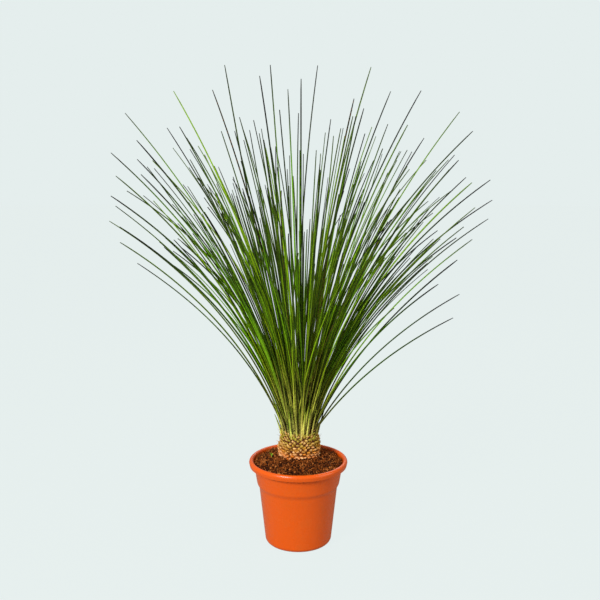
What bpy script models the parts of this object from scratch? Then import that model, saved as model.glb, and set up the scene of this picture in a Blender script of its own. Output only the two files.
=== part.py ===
"""Potted Mexican grass tree: a rosette of long, thin, arching leaves on a short knobbed trunk, in a
round plastic nursery pot.

Metres, +Z up. The origin is the centre of the pot's underside, on the surface that it stands on. The
side that is usually shown faces -Y, and +X is to its right.
"""

import math
import random

import bmesh
import bpy
from mathutils import Vector, noise

# Pot: one moulded wall, given by the line half way through its thickness
RIM_RADIUS = 0.085
POT_HEIGHT = 0.148
WALL = 0.0015
HALF_WALL = WALL / 2
FOOT_RADIUS = 0.0577
FOOT_ROUNDING = 0.0079
PAD_RADIUS = 0.022
CHANNEL_RADII = (0.025, 0.043)
CHANNEL_RISE = 0.0025
FOOT_RING_INNER = 0.046
SHOULDER_BOTTOM = (0.0674, 0.0980)
SHOULDER_MIDDLE = (0.0684, 0.1015)
SHOULDER_TOP = (0.0712, 0.1065)
COLLAR_TOP = (0.0758, 0.1340)
LIP_WIDTH = 0.008
LIP_DROP = 0.0105
LIP_TUCK = 0.0013
POT_SEGMENTS = 32
FOOT_STEPS = 3
LIP_STEPS = 5
DRAIN_HOLES = 8
DRAIN_HOLE_RADIUS = 0.0045
DRAIN_HOLE_SIDES = 8
DRAIN_CIRCLE_RADIUS = 0.034
DRAIN_CUTTER_DEPTH = 0.02
GAP = 0.0003
MERGE_DISTANCE = 0.00001
SMOOTH_BELOW = math.radians(40)

# Soil: a low mound that fills the pot to just under its rim
SOIL_EDGE_HEIGHT = 0.1425
SOIL_CROWN_HEIGHT = 0.1540
SOIL_RINGS = 6
SOIL_RING_RADII = (0.0725, 0.034)
CLOD_HEIGHT = 0.0022
CLOD_SIZE = 0.011

# Trunk: a short swollen stem, clad in the stubs of old leaf bases
TRUNK_PLACE = Vector((0.002, 0.008, 0.0))
TRUNK_FOOT = 0.115
TRUNK_TOP = 0.195
TRUNK_OUTLINE = (
    (0.0220, TRUNK_FOOT),
    (0.0240, 0.1380),
    (0.0285, 0.1490),
    (0.0325, 0.1580),
    (0.0338, 0.1680),
    (0.0318, 0.1790),
    (0.0298, TRUNK_TOP),
)
STUBS_AROUND = 21
STUB_ROWS = 12
FIRST_STUB_ROW = 0.145
STUB_ROW_STEP = 0.0041
STUB_HEIGHT = 0.0027
STUB_LIFT = 0.0012
STUB_TURN_PER_ROW = math.radians(1.3)
HOLE_CLEARANCE = STUB_HEIGHT + 2 * GAP
HOLE_SIDES = 24

# Leaf head: the heart that the leaf bases close round, and the leaves that stand out of it
HEART_FOOT = TRUNK_TOP + GAP
HEART_OUTLINE = (
    (0.0318, HEART_FOOT),
    (0.0332, 0.1990),
    (0.0320, 0.2040),
    (0.0265, 0.2130),
    (0.0190, 0.2240),
    (0.0110, 0.2350),
    (0.0, 0.2390),
)
HEART_SEGMENTS = 20
ROOT_RADII = (0.003, 0.0295)
ROOT_HEIGHTS = (0.230, 0.1995)
ROOT_SPREAD_LEAN = 42.0
ROOT_SPREAD_POWER = 0.8
LEAF_WIDTH = 0.0033
LEAF_THICKNESS = 0.0025
TAPER_POWER = 0.15
FOOT_FLARE = 0.0026
FLARE_SHARE = 0.35
FLARE_POWER = 1.5
LEAF_STEPS = 40
RINGS_BELOW_LEAN = (
    (9.0, (0.0, 0.2, 0.6, 0.975)),
    (26.0, (0.0, 0.15, 0.4, 0.7, 0.975)),
    (90.0, (0.0, 0.15, 0.35, 0.575, 0.8, 0.975)),
)
TIP_LEAN_PER_LEAN = 1.5
WIDEST_TIP_LEAN = 60.0
ARCH_POWER = 1.15
ARCH_MEAN = ARCH_POWER / (ARCH_POWER + 1)

# Leaves of the full crown, set by the turn that new leaves keep to the one before
CROWN_LEAVES = 168
GOLDEN_ANGLE = math.radians(137.508)
WIDEST_CROWN_LEAN = 41.5
SIDEWAYS_LEAN_LOSS = 0.08
LONGEST_LEAF = 0.605
SHORTENING = 0.45
SHORTEST_AT_LEAN = 46.0
SHORTENING_POWER = 4
REACH_RANGE = (0.65, 0.93)
FRONT_AND_BACK_REACH = 0.1
YOUNG_LENGTH_SHARE = 0.79
GROWN_AT_LEAN = 35.0
LEAST_LEAN = 0.5
LEAN_JITTER = 2.0
ARCH_RANGE = (0.75, 1.2)
TURN_JITTER = math.radians(5)
SEED = 7

# Leaves that stand clear of the crown, from left to right across the front: the lean from root to tip in
# degrees from upright (to the right is positive), the leaf's length in metres, how far its plane is
# turned away from the front in degrees, and how much it arches against what its lean gives.
OUTER_LEAVES = (
    (-27.0, 0.591, 0, 1.0),
    (-31.5, 0.547, -15, 1.0),
    (-28.5, 0.547, -30, 1.0),
    (-33.5, 0.517, 0, 1.0),
    (-35.5, 0.497, -15, 1.1),
    (-39.5, 0.468, 0, 0.95),
    (-38.5, 0.463, -30, 0.9),
    (-40.5, 0.428, 0, 0.9),
    (-39.5, 0.384, -15, 0.78),
    (-31.0, 0.532, 15, 1.0),
    (-30.5, 0.502, -30, 1.0),
    (-22.0, 0.537, 0, 1.0),
    (-21.5, 0.532, -30, 1.0),
    (-19.0, 0.586, 0, 1.1),
    (-14.0, 0.571, 15, 1.0),
    (-10.5, 0.596, 0, -0.2),
    (-11.0, 0.512, -30, 1.2),
    (-6.0, 0.571, 15, 1.0),
    (-4.5, 0.581, -30, 0.2),
    (-1.5, 0.542, 0, 2.0),
    (-7.0, 0.468, -30, 1.0),
    (0.0, 0.557, 0, 1.0),
    (2.5, 0.581, 0, 4.0),
    (10.5, 0.591, -15, 1.3),
    (9.5, 0.537, -30, 1.0),
    (6.0, 0.502, 30, 1.0),
    (8.0, 0.488, -30, 1.0),
    (14.0, 0.566, 0, 1.2),
    (12.5, 0.537, 30, 1.0),
    (18.5, 0.581, -15, 1.2),
    (19.5, 0.527, -30, 1.1),
    (25.0, 0.581, 0, 1.0),
    (21.5, 0.517, 0, 1.0),
    (28.0, 0.566, -15, 1.3),
    (27.0, 0.488, -30, 1.0),
    (30.5, 0.527, 15, 1.0),
    (32.0, 0.507, -30, 1.0),
    (32.5, 0.497, 0, 1.0),
    (35.0, 0.522, 0, 1.1),
    (36.5, 0.497, -15, 1.1),
    (39.0, 0.468, 0, 0.9),
    (38.0, 0.424, -15, 0.75),
    (39.5, 0.379, 0, 0.65),
    (39.5, 0.350, -30, 0.7),
    (46.0, 0.340, 0, 1.0),
    (48.0, 0.310, -15, 1.0),
)


def clear_scene():
    """Empties the scene of its objects."""
    for obj in list(bpy.data.objects):
        bpy.data.objects.remove(obj, do_unlink=True)


def linear_colour(code):
    """The linear colour of an sRGB hex code such as #RRGGBB."""
    channels = [int(code[at : at + 2], 16) / 255 for at in (1, 3, 5)]
    return tuple(c / 12.92 if c <= 0.04045 else ((c + 0.055) / 1.055) ** 2.4 for c in channels)


def make_material(name, code, roughness):
    """A plain finish that is not metal."""
    material = bpy.data.materials.new(name)
    material.use_nodes = True
    shader = material.node_tree.nodes["Principled BSDF"]
    shader.inputs["Base Color"].default_value = (*linear_colour(code), 1.0)
    shader.inputs["Roughness"].default_value = roughness
    shader.inputs["Metallic"].default_value = 0.0
    return material


def make_object(name, bm, material=None, parent=None):
    """Turns a bmesh into an object with outward faces, shaded smooth across shallow angles."""
    bmesh.ops.recalc_face_normals(bm, faces=bm.faces)
    mesh = bpy.data.meshes.new(name)
    bm.to_mesh(mesh)
    bm.free()
    mesh.shade_smooth()
    mesh.set_sharp_from_angle(angle=SMOOTH_BELOW)
    if material:
        mesh.materials.append(material)
    obj = bpy.data.objects.new(name, mesh)
    bpy.context.scene.collection.objects.link(obj)
    obj.parent = parent
    return obj


def subtract(obj, name, cutter):
    """Cuts one solid out of another and hides the cutter."""
    cut = obj.modifiers.new(name, "BOOLEAN")
    cut.operation = "DIFFERENCE"
    cut.object = cutter
    cutter.hide_render = True
    cutter.display_type = "WIRE"


def arc(centre, radii, start, end, steps):
    """Points of an elliptical arc in the (radius, height) plane, from one angle in degrees to another."""
    angles = [math.radians(start + (end - start) * step / steps) for step in range(steps + 1)]
    return [(centre[0] + radii[0] * math.cos(a), centre[1] + radii[1] * math.sin(a)) for a in angles]


def offset_line(line, distance):
    """A line of (radius, height) points moved sideways, to its left where distance is positive."""
    points = [Vector(point) for point in line]
    runs = [(after - before).normalized() for before, after in zip(points, points[1:])]
    moved = []
    for point, before, after in zip(points, runs[:1] + runs, runs + runs[-1:]):
        left = Vector((-before.y, before.x))
        mitre = (left + Vector((-after.y, after.x))).normalized()
        moved.append(tuple(point + mitre * (distance / mitre.dot(left))))
    return moved


def radius_on(line, height):
    """The radius of a line of (radius, height) points at a height, where the height rises along it."""
    for (below, low), (above, high) in zip(line, line[1:]):
        if low <= height <= high:
            return below + (above - below) * (height - low) / (high - low)
    return line[-1][0]


def spin_outline(outline, segments):
    """Turns an open outline of (radius, height) points about the Z axis, with its seam and poles closed."""
    bm = bmesh.new()
    verts = [bm.verts.new((max(radius, 0.0), 0.0, height)) for radius, height in outline]
    edges = [bm.edges.new(pair) for pair in zip(verts, verts[1:])]
    bmesh.ops.spin(bm, geom=verts + edges, axis=(0, 0, 1), angle=math.tau, steps=segments)
    bmesh.ops.remove_doubles(bm, verts=bm.verts, dist=MERGE_DISTANCE)
    bmesh.ops.dissolve_degenerate(bm, edges=bm.edges, dist=MERGE_DISTANCE)
    return bm


def pot_wall_line():
    """The middle line of the pot's floor and wall, from its axis out and up to the collar's top."""
    rounding = FOOT_ROUNDING - HALF_WALL
    corner = (FOOT_RADIUS - FOOT_ROUNDING, FOOT_ROUNDING)
    wall = [SHOULDER_BOTTOM, SHOULDER_MIDDLE, SHOULDER_TOP, COLLAR_TOP]
    return [
        (0.0, HALF_WALL),
        (PAD_RADIUS, HALF_WALL),
        (CHANNEL_RADII[0], HALF_WALL + CHANNEL_RISE),
        (CHANNEL_RADII[1], HALF_WALL + CHANNEL_RISE),
        (FOOT_RING_INNER, HALF_WALL),
        *arc(corner, (rounding, rounding), -90, 0, FOOT_STEPS),
        *[(radius - HALF_WALL, height) for radius, height in wall],
    ]


def pot_lip_line():
    """The middle line of the rolled rim, from the wall's top over and down to its free edge."""
    centre = (RIM_RADIUS - LIP_WIDTH / 2, POT_HEIGHT - LIP_DROP / 2)
    radii = (LIP_WIDTH / 2 - HALF_WALL, LIP_DROP / 2 - HALF_WALL)
    free_edge = (RIM_RADIUS - HALF_WALL - LIP_TUCK, POT_HEIGHT - LIP_DROP)
    return [*arc(centre, radii, 180, 0, LIP_STEPS), free_edge]


def build_pot(parent, material):
    """The pot, with its shoulder, rolled rim, raised drainage channel and drain holes."""
    middle = pot_wall_line() + pot_lip_line()
    outline = offset_line(middle, -HALF_WALL) + offset_line(middle, HALF_WALL)[::-1]
    pot = make_object("pot", spin_outline(outline, POT_SEGMENTS), material, parent)
    subtract(pot, "drain_holes", build_drain_cutter(parent))
    return pot


def build_drain_cutter(parent):
    """Upright rods through the floor's raised channel."""
    bm = bmesh.new()
    for index in range(DRAIN_HOLES):
        turn = math.tau * (index + 0.5) / DRAIN_HOLES
        rod = bmesh.ops.create_cone(
            bm,
            cap_ends=True,
            segments=DRAIN_HOLE_SIDES,
            radius1=DRAIN_HOLE_RADIUS,
            radius2=DRAIN_HOLE_RADIUS,
            depth=DRAIN_CUTTER_DEPTH,
        )
        place = (DRAIN_CIRCLE_RADIUS * math.cos(turn), DRAIN_CIRCLE_RADIUS * math.sin(turn), CHANNEL_RISE)
        bmesh.ops.translate(bm, verts=rod["verts"], vec=place)
    return make_object("drain_cutter", bm, parent=parent)


def soil_mound_line():
    """The smooth top of the soil, from the pot's wall in and up to the trunk."""
    edge, inner = SOIL_RING_RADII
    rise = SOIL_CROWN_HEIGHT - SOIL_EDGE_HEIGHT
    line = []
    for ring in range(SOIL_RINGS):
        share = ring / (SOIL_RINGS - 1)
        line.append((edge + (inner - edge) * share, SOIL_EDGE_HEIGHT + rise * math.sin(share * math.pi / 2)))
    return [*line, (0.0, SOIL_CROWN_HEIGHT)]


def build_soil(parent, material):
    """The potting mix: it fills the pot, is heaped to the trunk, and has a plain hole for the trunk."""
    inside = offset_line(pot_wall_line() + pot_lip_line()[:1], HALF_WALL + GAP)
    edge = (radius_on(inside[-2:], SOIL_EDGE_HEIGHT), SOIL_EDGE_HEIGHT - CLOD_HEIGHT / 4)
    bm = spin_outline([*inside[:-1], edge, *soil_mound_line()], POT_SEGMENTS)
    for vert in bm.verts:
        if vert.co.z >= SOIL_EDGE_HEIGHT and vert.co.xy.length <= SOIL_RING_RADII[0] + GAP:
            vert.co.z += CLOD_HEIGHT * noise.noise(vert.co / CLOD_SIZE)
    soil = make_object("soil", bm, material, parent)
    subtract(soil, "trunk_hole", build_trunk_hole_cutter(parent))
    return soil


def build_trunk_hole_cutter(parent):
    """The trunk's outline with clearance for its stubs."""
    wall = [(radius + HOLE_CLEARANCE, height) for radius, height in TRUNK_OUTLINE]
    floor = TRUNK_FOOT - GAP
    outline = [(0.0, floor), (wall[0][0], floor), *wall[1:], (0.0, TRUNK_TOP)]
    cutter = make_object("trunk_hole_cutter", spin_outline(outline, HOLE_SIDES), parent=parent)
    cutter.location = TRUNK_PLACE
    return cutter


def trunk_ring(bm, height, turn):
    """A ring of verts round the trunk, two for each stub."""
    radius = radius_on(TRUNK_OUTLINE, height)
    count = 2 * STUBS_AROUND
    angles = [turn + math.tau * k / count for k in range(count)]
    return [bm.verts.new((radius * math.cos(a), radius * math.sin(a), height)) for a in angles]


def join_rings(bm, low, high, peaks_on=None):
    """Faces between two rings: one quad a step, or two triangles that meet in the low ring's peaks."""
    count = len(low)
    for k in range(count):
        after = (k + 1) % count
        if peaks_on is None:
            bm.faces.new((low[k], low[after], high[after], high[k]))
        elif k % 2 == peaks_on:
            bm.faces.new((low[k], low[after], high[k]))
            bm.faces.new((low[after], high[after], high[k]))
        else:
            bm.faces.new((low[k], low[after], high[after]))
            bm.faces.new((low[k], high[after], high[k]))


def build_trunk(parent, material):
    """The trunk: lozenges tile its flank, each drawn out to a point a little above its middle."""
    bm = bmesh.new()
    buried = [height for radius, height in TRUNK_OUTLINE if height < FIRST_STUB_ROW]
    plain = [trunk_ring(bm, height, 0.0) for height in buried]
    rows = []
    for row in range(STUB_ROWS):
        verts = trunk_ring(bm, FIRST_STUB_ROW + STUB_ROW_STEP * row, STUB_TURN_PER_ROW * row)
        for vert in verts[row % 2 :: 2]:
            outward = Vector((vert.co.x, vert.co.y, 0.0)).normalized()
            vert.co += outward * STUB_HEIGHT + Vector((0.0, 0.0, STUB_LIFT))
        rows.append(verts)
    crown = trunk_ring(bm, TRUNK_TOP, STUB_TURN_PER_ROW * (STUB_ROWS - 1))
    for low, high in zip(plain, plain[1:] + rows[:1]):
        join_rings(bm, low, high)
    for row, (low, high) in enumerate(zip(rows, rows[1:])):
        join_rings(bm, low, high, peaks_on=row % 2)
    join_rings(bm, rows[-1], crown)
    caps = [bm.faces.new(plain[0]), bm.faces.new(crown)]
    bmesh.ops.triangulate(bm, faces=caps)
    return make_object("trunk", bm, material, parent)


def leaf_root(lean, azimuth):
    """Where a leaf starts inside the heart: the more it leans, the further out and lower."""
    share = min(1.0, lean / ROOT_SPREAD_LEAN)
    radius = ROOT_RADII[0] + (ROOT_RADII[1] - ROOT_RADII[0]) * share**ROOT_SPREAD_POWER
    height = ROOT_HEIGHTS[0] + (ROOT_HEIGHTS[1] - ROOT_HEIGHTS[0]) * share
    return Vector((radius * math.cos(azimuth), radius * math.sin(azimuth), height))


def leaf_line(lean, length, azimuth, arch):
    """Points along a leaf, with its direction at each. It rises steeply, arches out, and straightens a
    little towards its tip. Its lean from root to tip stays the same, however much it arches."""
    bow = arch * (min(TIP_LEAN_PER_LEAN * lean, WIDEST_TIP_LEAN) - lean) / (1 - ARCH_MEAN)
    outward = Vector((math.cos(azimuth), math.sin(azimuth), 0.0))
    point = leaf_root(lean, azimuth)
    line = []
    for step in range(LEAF_STEPS + 1):
        bent = 1 - (1 - step / LEAF_STEPS) ** ARCH_POWER
        tilt = math.radians(lean + bow * (bent - ARCH_MEAN))
        direction = outward * math.sin(tilt) + Vector((0.0, 0.0, math.cos(tilt)))
        line.append((point, direction))
        point = point + direction * (length / LEAF_STEPS)
    return line


def leaf_size(share):
    """A leaf's width and thickness: flat and wide at its foot, then a stiff rod with a blunt tip."""
    taper = (1 - share) ** TAPER_POWER
    flare = FOOT_FLARE * max(0.0, 1 - share / FLARE_SHARE) ** FLARE_POWER
    return LEAF_WIDTH * taper + flare, LEAF_THICKNESS * taper


def make_leaf(lean, length, azimuth, arch):
    """A three-sided leaf: two edges towards the plant's axis, and a keel on the outside."""
    bm = bmesh.new()
    line = leaf_line(lean, length, azimuth, arch)
    side = Vector((-math.sin(azimuth), math.cos(azimuth), 0.0))
    rings = []
    for share in next(shares for limit, shares in RINGS_BELOW_LEAN if lean < limit):
        point, direction = line[round(share * LEAF_STEPS)]
        width, thickness = leaf_size(share)
        half = side * (width / 2)
        third = side.cross(direction) * (thickness / 3)
        rings.append([bm.verts.new(at) for at in (point + half - third, point - half - third, point + third * 2)])
    bm.faces.new(rings[0])
    for low, high in zip(rings, rings[1:]):
        join_rings(bm, low, high)
    tip = bm.verts.new(line[-1][0])
    for corner, after in zip(rings[-1], rings[-1][1:] + rings[-1][:1]):
        bm.faces.new((corner, after, tip))
    return make_object("leaf", bm)


def longest_at(lean):
    """The longest leaf at a lean: young upright leaves and old drooping ones are shorter."""
    grown = YOUNG_LENGTH_SHARE + (1 - YOUNG_LENGTH_SHARE) * min(1.0, lean / GROWN_AT_LEAN)
    return LONGEST_LEAF * grown * (1 - SHORTENING * (lean / SHORTEST_AT_LEAN) ** SHORTENING_POWER)


def crown_leaf(index, draw):
    """The lean, length, azimuth and arch of one leaf of the crown, from the oldest to the youngest."""
    age = 1 - (index + 0.5) / CROWN_LEAVES
    least = math.cos(math.radians(WIDEST_CROWN_LEAN))
    lean = math.degrees(math.acos(1 - age * (1 - least))) + draw.uniform(-LEAN_JITTER, LEAN_JITTER)
    azimuth = index * GOLDEN_ANGLE + draw.uniform(-TURN_JITTER, TURN_JITTER)
    lean *= 1 - SIDEWAYS_LEAN_LOSS * abs(math.cos(azimuth))
    reach = draw.uniform(*REACH_RANGE) + FRONT_AND_BACK_REACH * abs(math.sin(azimuth))
    return max(LEAST_LEAN, lean), longest_at(lean) * reach, azimuth, draw.uniform(*ARCH_RANGE)


def leaf_settings():
    """The lean, length, azimuth and arch of every leaf."""
    leaves = []
    for lean, length, turn, arch in OUTER_LEAVES:
        azimuth = math.radians(turn if lean >= 0 else 180 - turn)
        leaves.append((abs(lean), length, azimuth, arch))
    draw = random.Random(SEED)
    return leaves + [crown_leaf(index, draw) for index in range(CROWN_LEAVES)]


def keep_largest_shell(mesh):
    """Drops loose scraps, and the walls of hollows that the leaves seal between them."""
    bm = bmesh.new()
    bm.from_mesh(mesh)
    unseen = set(bm.verts)
    shells = []
    while unseen:
        shell = {unseen.pop()}
        edge_of_shell = list(shell)
        while edge_of_shell:
            vert = edge_of_shell.pop()
            fresh = {edge.other_vert(vert) for edge in vert.link_edges} - shell
            shell |= fresh
            edge_of_shell += fresh
        unseen -= shell
        shells.append(shell)
    shells.sort(key=len)
    bmesh.ops.delete(bm, geom=[vert for shell in shells[:-1] for vert in shell], context="VERTS")
    bm.to_mesh(mesh)
    bm.free()


def fuse_leaves(heart, blades):
    """Joins a collection's solids to the heart in one union and removes the collection."""
    union = heart.modifiers.new("fuse_leaves", "BOOLEAN")
    union.operation = "UNION"
    union.operand_type = "COLLECTION"
    union.collection = blades
    union.solver = "MANIFOLD"
    graph = bpy.context.evaluated_depsgraph_get()
    fused = bpy.data.meshes.new_from_object(heart.evaluated_get(graph), depsgraph=graph)
    heart.modifiers.clear()
    heart.data = fused
    keep_largest_shell(fused)
    for blade in list(blades.objects):
        bpy.data.objects.remove(blade, do_unlink=True)
    bpy.data.collections.remove(blades)


def build_leaf_head(parent, material):
    """The leaf head: every leaf is fused to the heart that its root sits in."""
    outline = [(0.0, HEART_FOOT), *HEART_OUTLINE]
    head = make_object("leaf_head", spin_outline(outline, HEART_SEGMENTS))
    blades = bpy.data.collections.new("blades")
    bpy.context.scene.collection.children.link(blades)
    for settings in leaf_settings():
        leaf = make_leaf(*settings)
        bpy.context.scene.collection.objects.unlink(leaf)
        blades.objects.link(leaf)
    fuse_leaves(head, blades)
    head.data.materials.clear()
    head.data.materials.append(material)
    head.parent = parent
    return head


def make_empty(name, parent=None):
    """An empty that other objects are placed by."""
    empty = bpy.data.objects.new(name, None)
    bpy.context.scene.collection.objects.link(empty)
    empty.parent = parent
    return empty


def main():
    """Builds the potted plant."""
    clear_scene()
    base = make_empty("potted_grass_tree")
    plant = make_empty("plant", base)
    plant.location = TRUNK_PLACE
    build_pot(base, make_material("terracotta_plastic", "#E8652B", 0.4))
    build_soil(base, make_material("potting_mix", "#65361A", 0.95))
    build_trunk(plant, make_material("leaf_base_stubs", "#B5834A", 0.75))
    build_leaf_head(plant, make_material("green_leaf", "#4E6B1E", 0.45))


main()
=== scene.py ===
"""The looks of a potted Mexican grass tree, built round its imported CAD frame.

Metres, +Z up, in the frame's axes: the origin is the centre of the pot's underside, and the side that is
usually shown faces -Y. The CAD has fewer leaves than the real plant, a plain soil bed and a facetted
trunk and pot. Each is replaced here by finer pieces of the same form.
"""

import logging
import math
import random
from dataclasses import dataclass
from enum import Enum

import bmesh
import bpy
from mathutils import Matrix, Vector, noise


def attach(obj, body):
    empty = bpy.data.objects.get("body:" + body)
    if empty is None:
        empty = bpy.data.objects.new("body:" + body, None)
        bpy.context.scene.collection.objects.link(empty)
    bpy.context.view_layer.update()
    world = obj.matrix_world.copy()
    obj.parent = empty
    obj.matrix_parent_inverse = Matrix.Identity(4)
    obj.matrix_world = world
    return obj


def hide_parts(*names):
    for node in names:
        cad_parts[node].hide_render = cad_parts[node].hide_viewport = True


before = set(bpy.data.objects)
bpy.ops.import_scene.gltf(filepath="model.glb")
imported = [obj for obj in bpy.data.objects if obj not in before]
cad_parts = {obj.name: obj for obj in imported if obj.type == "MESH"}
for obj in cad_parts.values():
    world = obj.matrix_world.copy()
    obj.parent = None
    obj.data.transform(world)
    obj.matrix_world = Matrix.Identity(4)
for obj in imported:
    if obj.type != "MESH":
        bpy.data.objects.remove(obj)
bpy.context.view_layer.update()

BODY = "root"
MERGE_DISTANCE = 0.00001
ALREADY_ROUND = math.radians(14)
LOG = logging.getLogger("grass_tree")

Point = tuple[float, float]
Setting = float | int | str | tuple | list | bpy.types.Node | bpy.types.NodeSocket | bpy.types.ID | None


class Slot(Enum):
    """The record's material slots."""

    POT = "pot_plastic"
    SOIL = "potting_mix"
    TRUNK = "trunk_stubs"
    LEAF = "leaf"


def linear_colour(code: str) -> tuple[float, float, float, float]:
    """Turns an sRGB hex code into a linear colour.

    Args:
        code: The colour as #RRGGBB.

    Returns:
        Red, green, blue and full alpha.
    """
    channels = [int(code[at : at + 2], 16) / 255 for at in (1, 3, 5)]
    red, green, blue = [c / 12.92 if c <= 0.04045 else ((c + 0.055) / 1.055) ** 2.4 for c in channels]
    return red, green, blue, 1.0


def output(node: bpy.types.Node, name: str = "") -> bpy.types.NodeSocket:
    """Finds one of a node's outputs.

    Args:
        node: The node.
        name: The output's name, or nothing for the first one in use.

    Returns:
        The output socket.
    """
    return next(socket for socket in node.outputs if socket.enabled and name in ("", socket.name))


def add_node(
    tree: bpy.types.NodeTree,
    kind: str,
    inputs: dict[str, Setting] | list[Setting] = (),
    **settings: Setting,
) -> bpy.types.Node:
    """Adds a node to a tree, with its settings, values and links.

    Args:
        tree: The tree that the node goes in.
        kind: Blender's name for the node's type.
        inputs: Values for its inputs, by name or in order. A node or an output socket is linked, a hex
            code is a colour, a list of nodes goes to an input that takes several, and None is left out.
        **settings: The node's own properties.

    Returns:
        The new node.
    """
    node = tree.nodes.new(kind)
    for name, value in settings.items():
        setattr(node, name, value)
    sockets = [socket for socket in node.inputs if socket.enabled]
    for key, value in inputs.items() if isinstance(inputs, dict) else enumerate(inputs):
        socket = sockets[key] if isinstance(key, int) else next(s for s in sockets if s.name == key)
        if isinstance(value, list):
            for source in value:
                tree.links.new(output(source), socket)
        elif isinstance(value, bpy.types.Node):
            tree.links.new(output(value), socket)
        elif isinstance(value, bpy.types.NodeSocket):
            tree.links.new(value, socket)
        elif socket.type == "RGBA":
            socket.default_value = linear_colour(value)
        elif value is not None:
            socket.default_value = value
    return node


def new_tree(name: str, inputs: dict[str, float | int]) -> tuple[bpy.types.NodeTree, bpy.types.Node]:
    """Starts a Geometry Nodes tree that takes a geometry and named sizes.

    Args:
        name: The tree's name.
        inputs: The default of each named input.

    Returns:
        The tree and its input node.
    """
    tree = bpy.data.node_groups.new(name, "GeometryNodeTree")
    tree.interface.new_socket("Geometry", in_out="INPUT", socket_type="NodeSocketGeometry")
    tree.interface.new_socket("Geometry", in_out="OUTPUT", socket_type="NodeSocketGeometry")
    for label, value in inputs.items():
        kind = "NodeSocketInt" if isinstance(value, int) else "NodeSocketFloat"
        tree.interface.new_socket(label, in_out="INPUT", socket_type=kind).default_value = value
    return tree, tree.nodes.new("NodeGroupInput")


def end_tree(tree: bpy.types.NodeTree, geometry: bpy.types.Node, material: bpy.types.Material) -> None:
    """Ends a tree: every instance is made real and given its material.

    Args:
        tree: The tree to end.
        geometry: The node that makes the shape.
        material: The finish of the whole shape.
    """
    real = add_node(tree, "GeometryNodeRealizeInstances", {"Geometry": geometry})
    dressed = add_node(tree, "GeometryNodeSetMaterial", {"Geometry": real, "Material": material})
    add_node(tree, "NodeGroupOutput", [dressed])


def grow(
    name: str, bed: bpy.types.Mesh, tree: bpy.types.NodeTree, values: dict[str, float | int]
) -> bpy.types.Object:
    """Runs a Geometry Nodes tree on a mesh and keeps what it makes as a plain mesh.

    Args:
        name: The new piece's name.
        bed: The mesh that the tree starts from.
        tree: The tree.
        values: Its inputs, by name.

    Returns:
        The new piece, without a modifier.
    """
    stand_in = bpy.data.objects.new(f"{name}_bed", bed)
    bpy.context.scene.collection.objects.link(stand_in)
    modifier = stand_in.modifiers.new(tree.name, "NODES")
    modifier.node_group = tree
    for socket in tree.interface.items_tree:
        if socket.in_out == "INPUT" and socket.name in values:
            modifier[socket.identifier] = values[socket.name]
    graph = bpy.context.evaluated_depsgraph_get()
    mesh = bpy.data.meshes.new_from_object(stand_in.evaluated_get(graph), depsgraph=graph)
    bpy.data.objects.remove(stand_in)
    return make_piece(name, mesh)


def make_piece(name: str, mesh: bpy.types.Mesh, sharp_above: float = 40.0) -> bpy.types.Object:
    """Makes an object of a mesh, shaded smooth across shallow angles.

    Args:
        name: The object's name.
        mesh: Its mesh.
        sharp_above: The angle in degrees above which an edge stays sharp.

    Returns:
        The object, at the origin.
    """
    mesh.name = name
    mesh.shade_smooth()
    mesh.set_sharp_from_angle(angle=math.radians(sharp_above))
    piece = bpy.data.objects.new(name, mesh)
    bpy.context.scene.collection.objects.link(piece)
    return piece


def hand_over(piece: bpy.types.Object, slot: Slot, *nodes: str) -> bpy.types.Object:
    """Tells the frame what a finished piece rides on and stands for.

    Args:
        piece: The piece.
        slot: Its material slot in the record. Not used.
        *nodes: The CAD nodes that it stands for.

    Returns:
        The same piece.
    """
    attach(piece, BODY)
    if nodes:
        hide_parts(*nodes)
    triangles = sum(len(face.vertices) - 2 for face in piece.data.polygons)
    LOG.info("%s: %d triangles, for %s", piece.name, triangles, ", ".join(nodes) or "no node")
    return piece


def arc(centre: Point, radii: Point, start: float, end: float, steps: int) -> list[Point]:
    """Draws an elliptical arc in the plane of radius and height.

    Args:
        centre: Its centre.
        radii: Its half width and half height.
        start: The angle it starts at, in degrees.
        end: The angle it ends at, in degrees.
        steps: How many straight runs it has.

    Returns:
        Its points.
    """
    angles = [math.radians(start + (end - start) * step / steps) for step in range(steps + 1)]
    return [(centre[0] + radii[0] * math.cos(a), centre[1] + radii[1] * math.sin(a)) for a in angles]


def round_corners(line: list[Point], reach: float, steps: int) -> list[Point]:
    """Rounds the corners of an open line, apart from those of its arcs.

    Args:
        line: Its points.
        reach: How far from a corner the rounding starts.
        steps: How many straight runs each corner gets.

    Returns:
        The rounded line.
    """
    points = [Vector(point) for point in line]
    rounded = [points[0]]
    for before, corner, after in zip(points, points[1:], points[2:]):
        if (corner - before).angle(after - corner) < ALREADY_ROUND:
            rounded.append(corner)
            continue
        start = corner + (before - corner).normalized() * min(reach, (before - corner).length / 2)
        end = corner + (after - corner).normalized() * min(reach, (after - corner).length / 2)
        for step in range(steps + 1):
            share = step / steps
            point = start.lerp(corner, share).lerp(corner.lerp(end, share), share)
            if (point - rounded[-1]).length > MERGE_DISTANCE:
                rounded.append(point)
    return [tuple(point) for point in [*rounded, points[-1]]]


def offset_line(line: list[Point], distance: float) -> list[Point]:
    """Moves a line of (radius, height) points sideways.

    Args:
        line: Its points.
        distance: How far it moves, to its left where positive.

    Returns:
        The moved line.
    """
    points = [Vector(point) for point in line]
    runs = [(after - before).normalized() for before, after in zip(points, points[1:])]
    moved = []
    for point, before, after in zip(points, runs[:1] + runs, runs + runs[-1:]):
        left = Vector((-before.y, before.x))
        mitre = (left + Vector((-after.y, after.x))).normalized()
        moved.append(tuple(point + mitre * (distance / mitre.dot(left))))
    return moved


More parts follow.
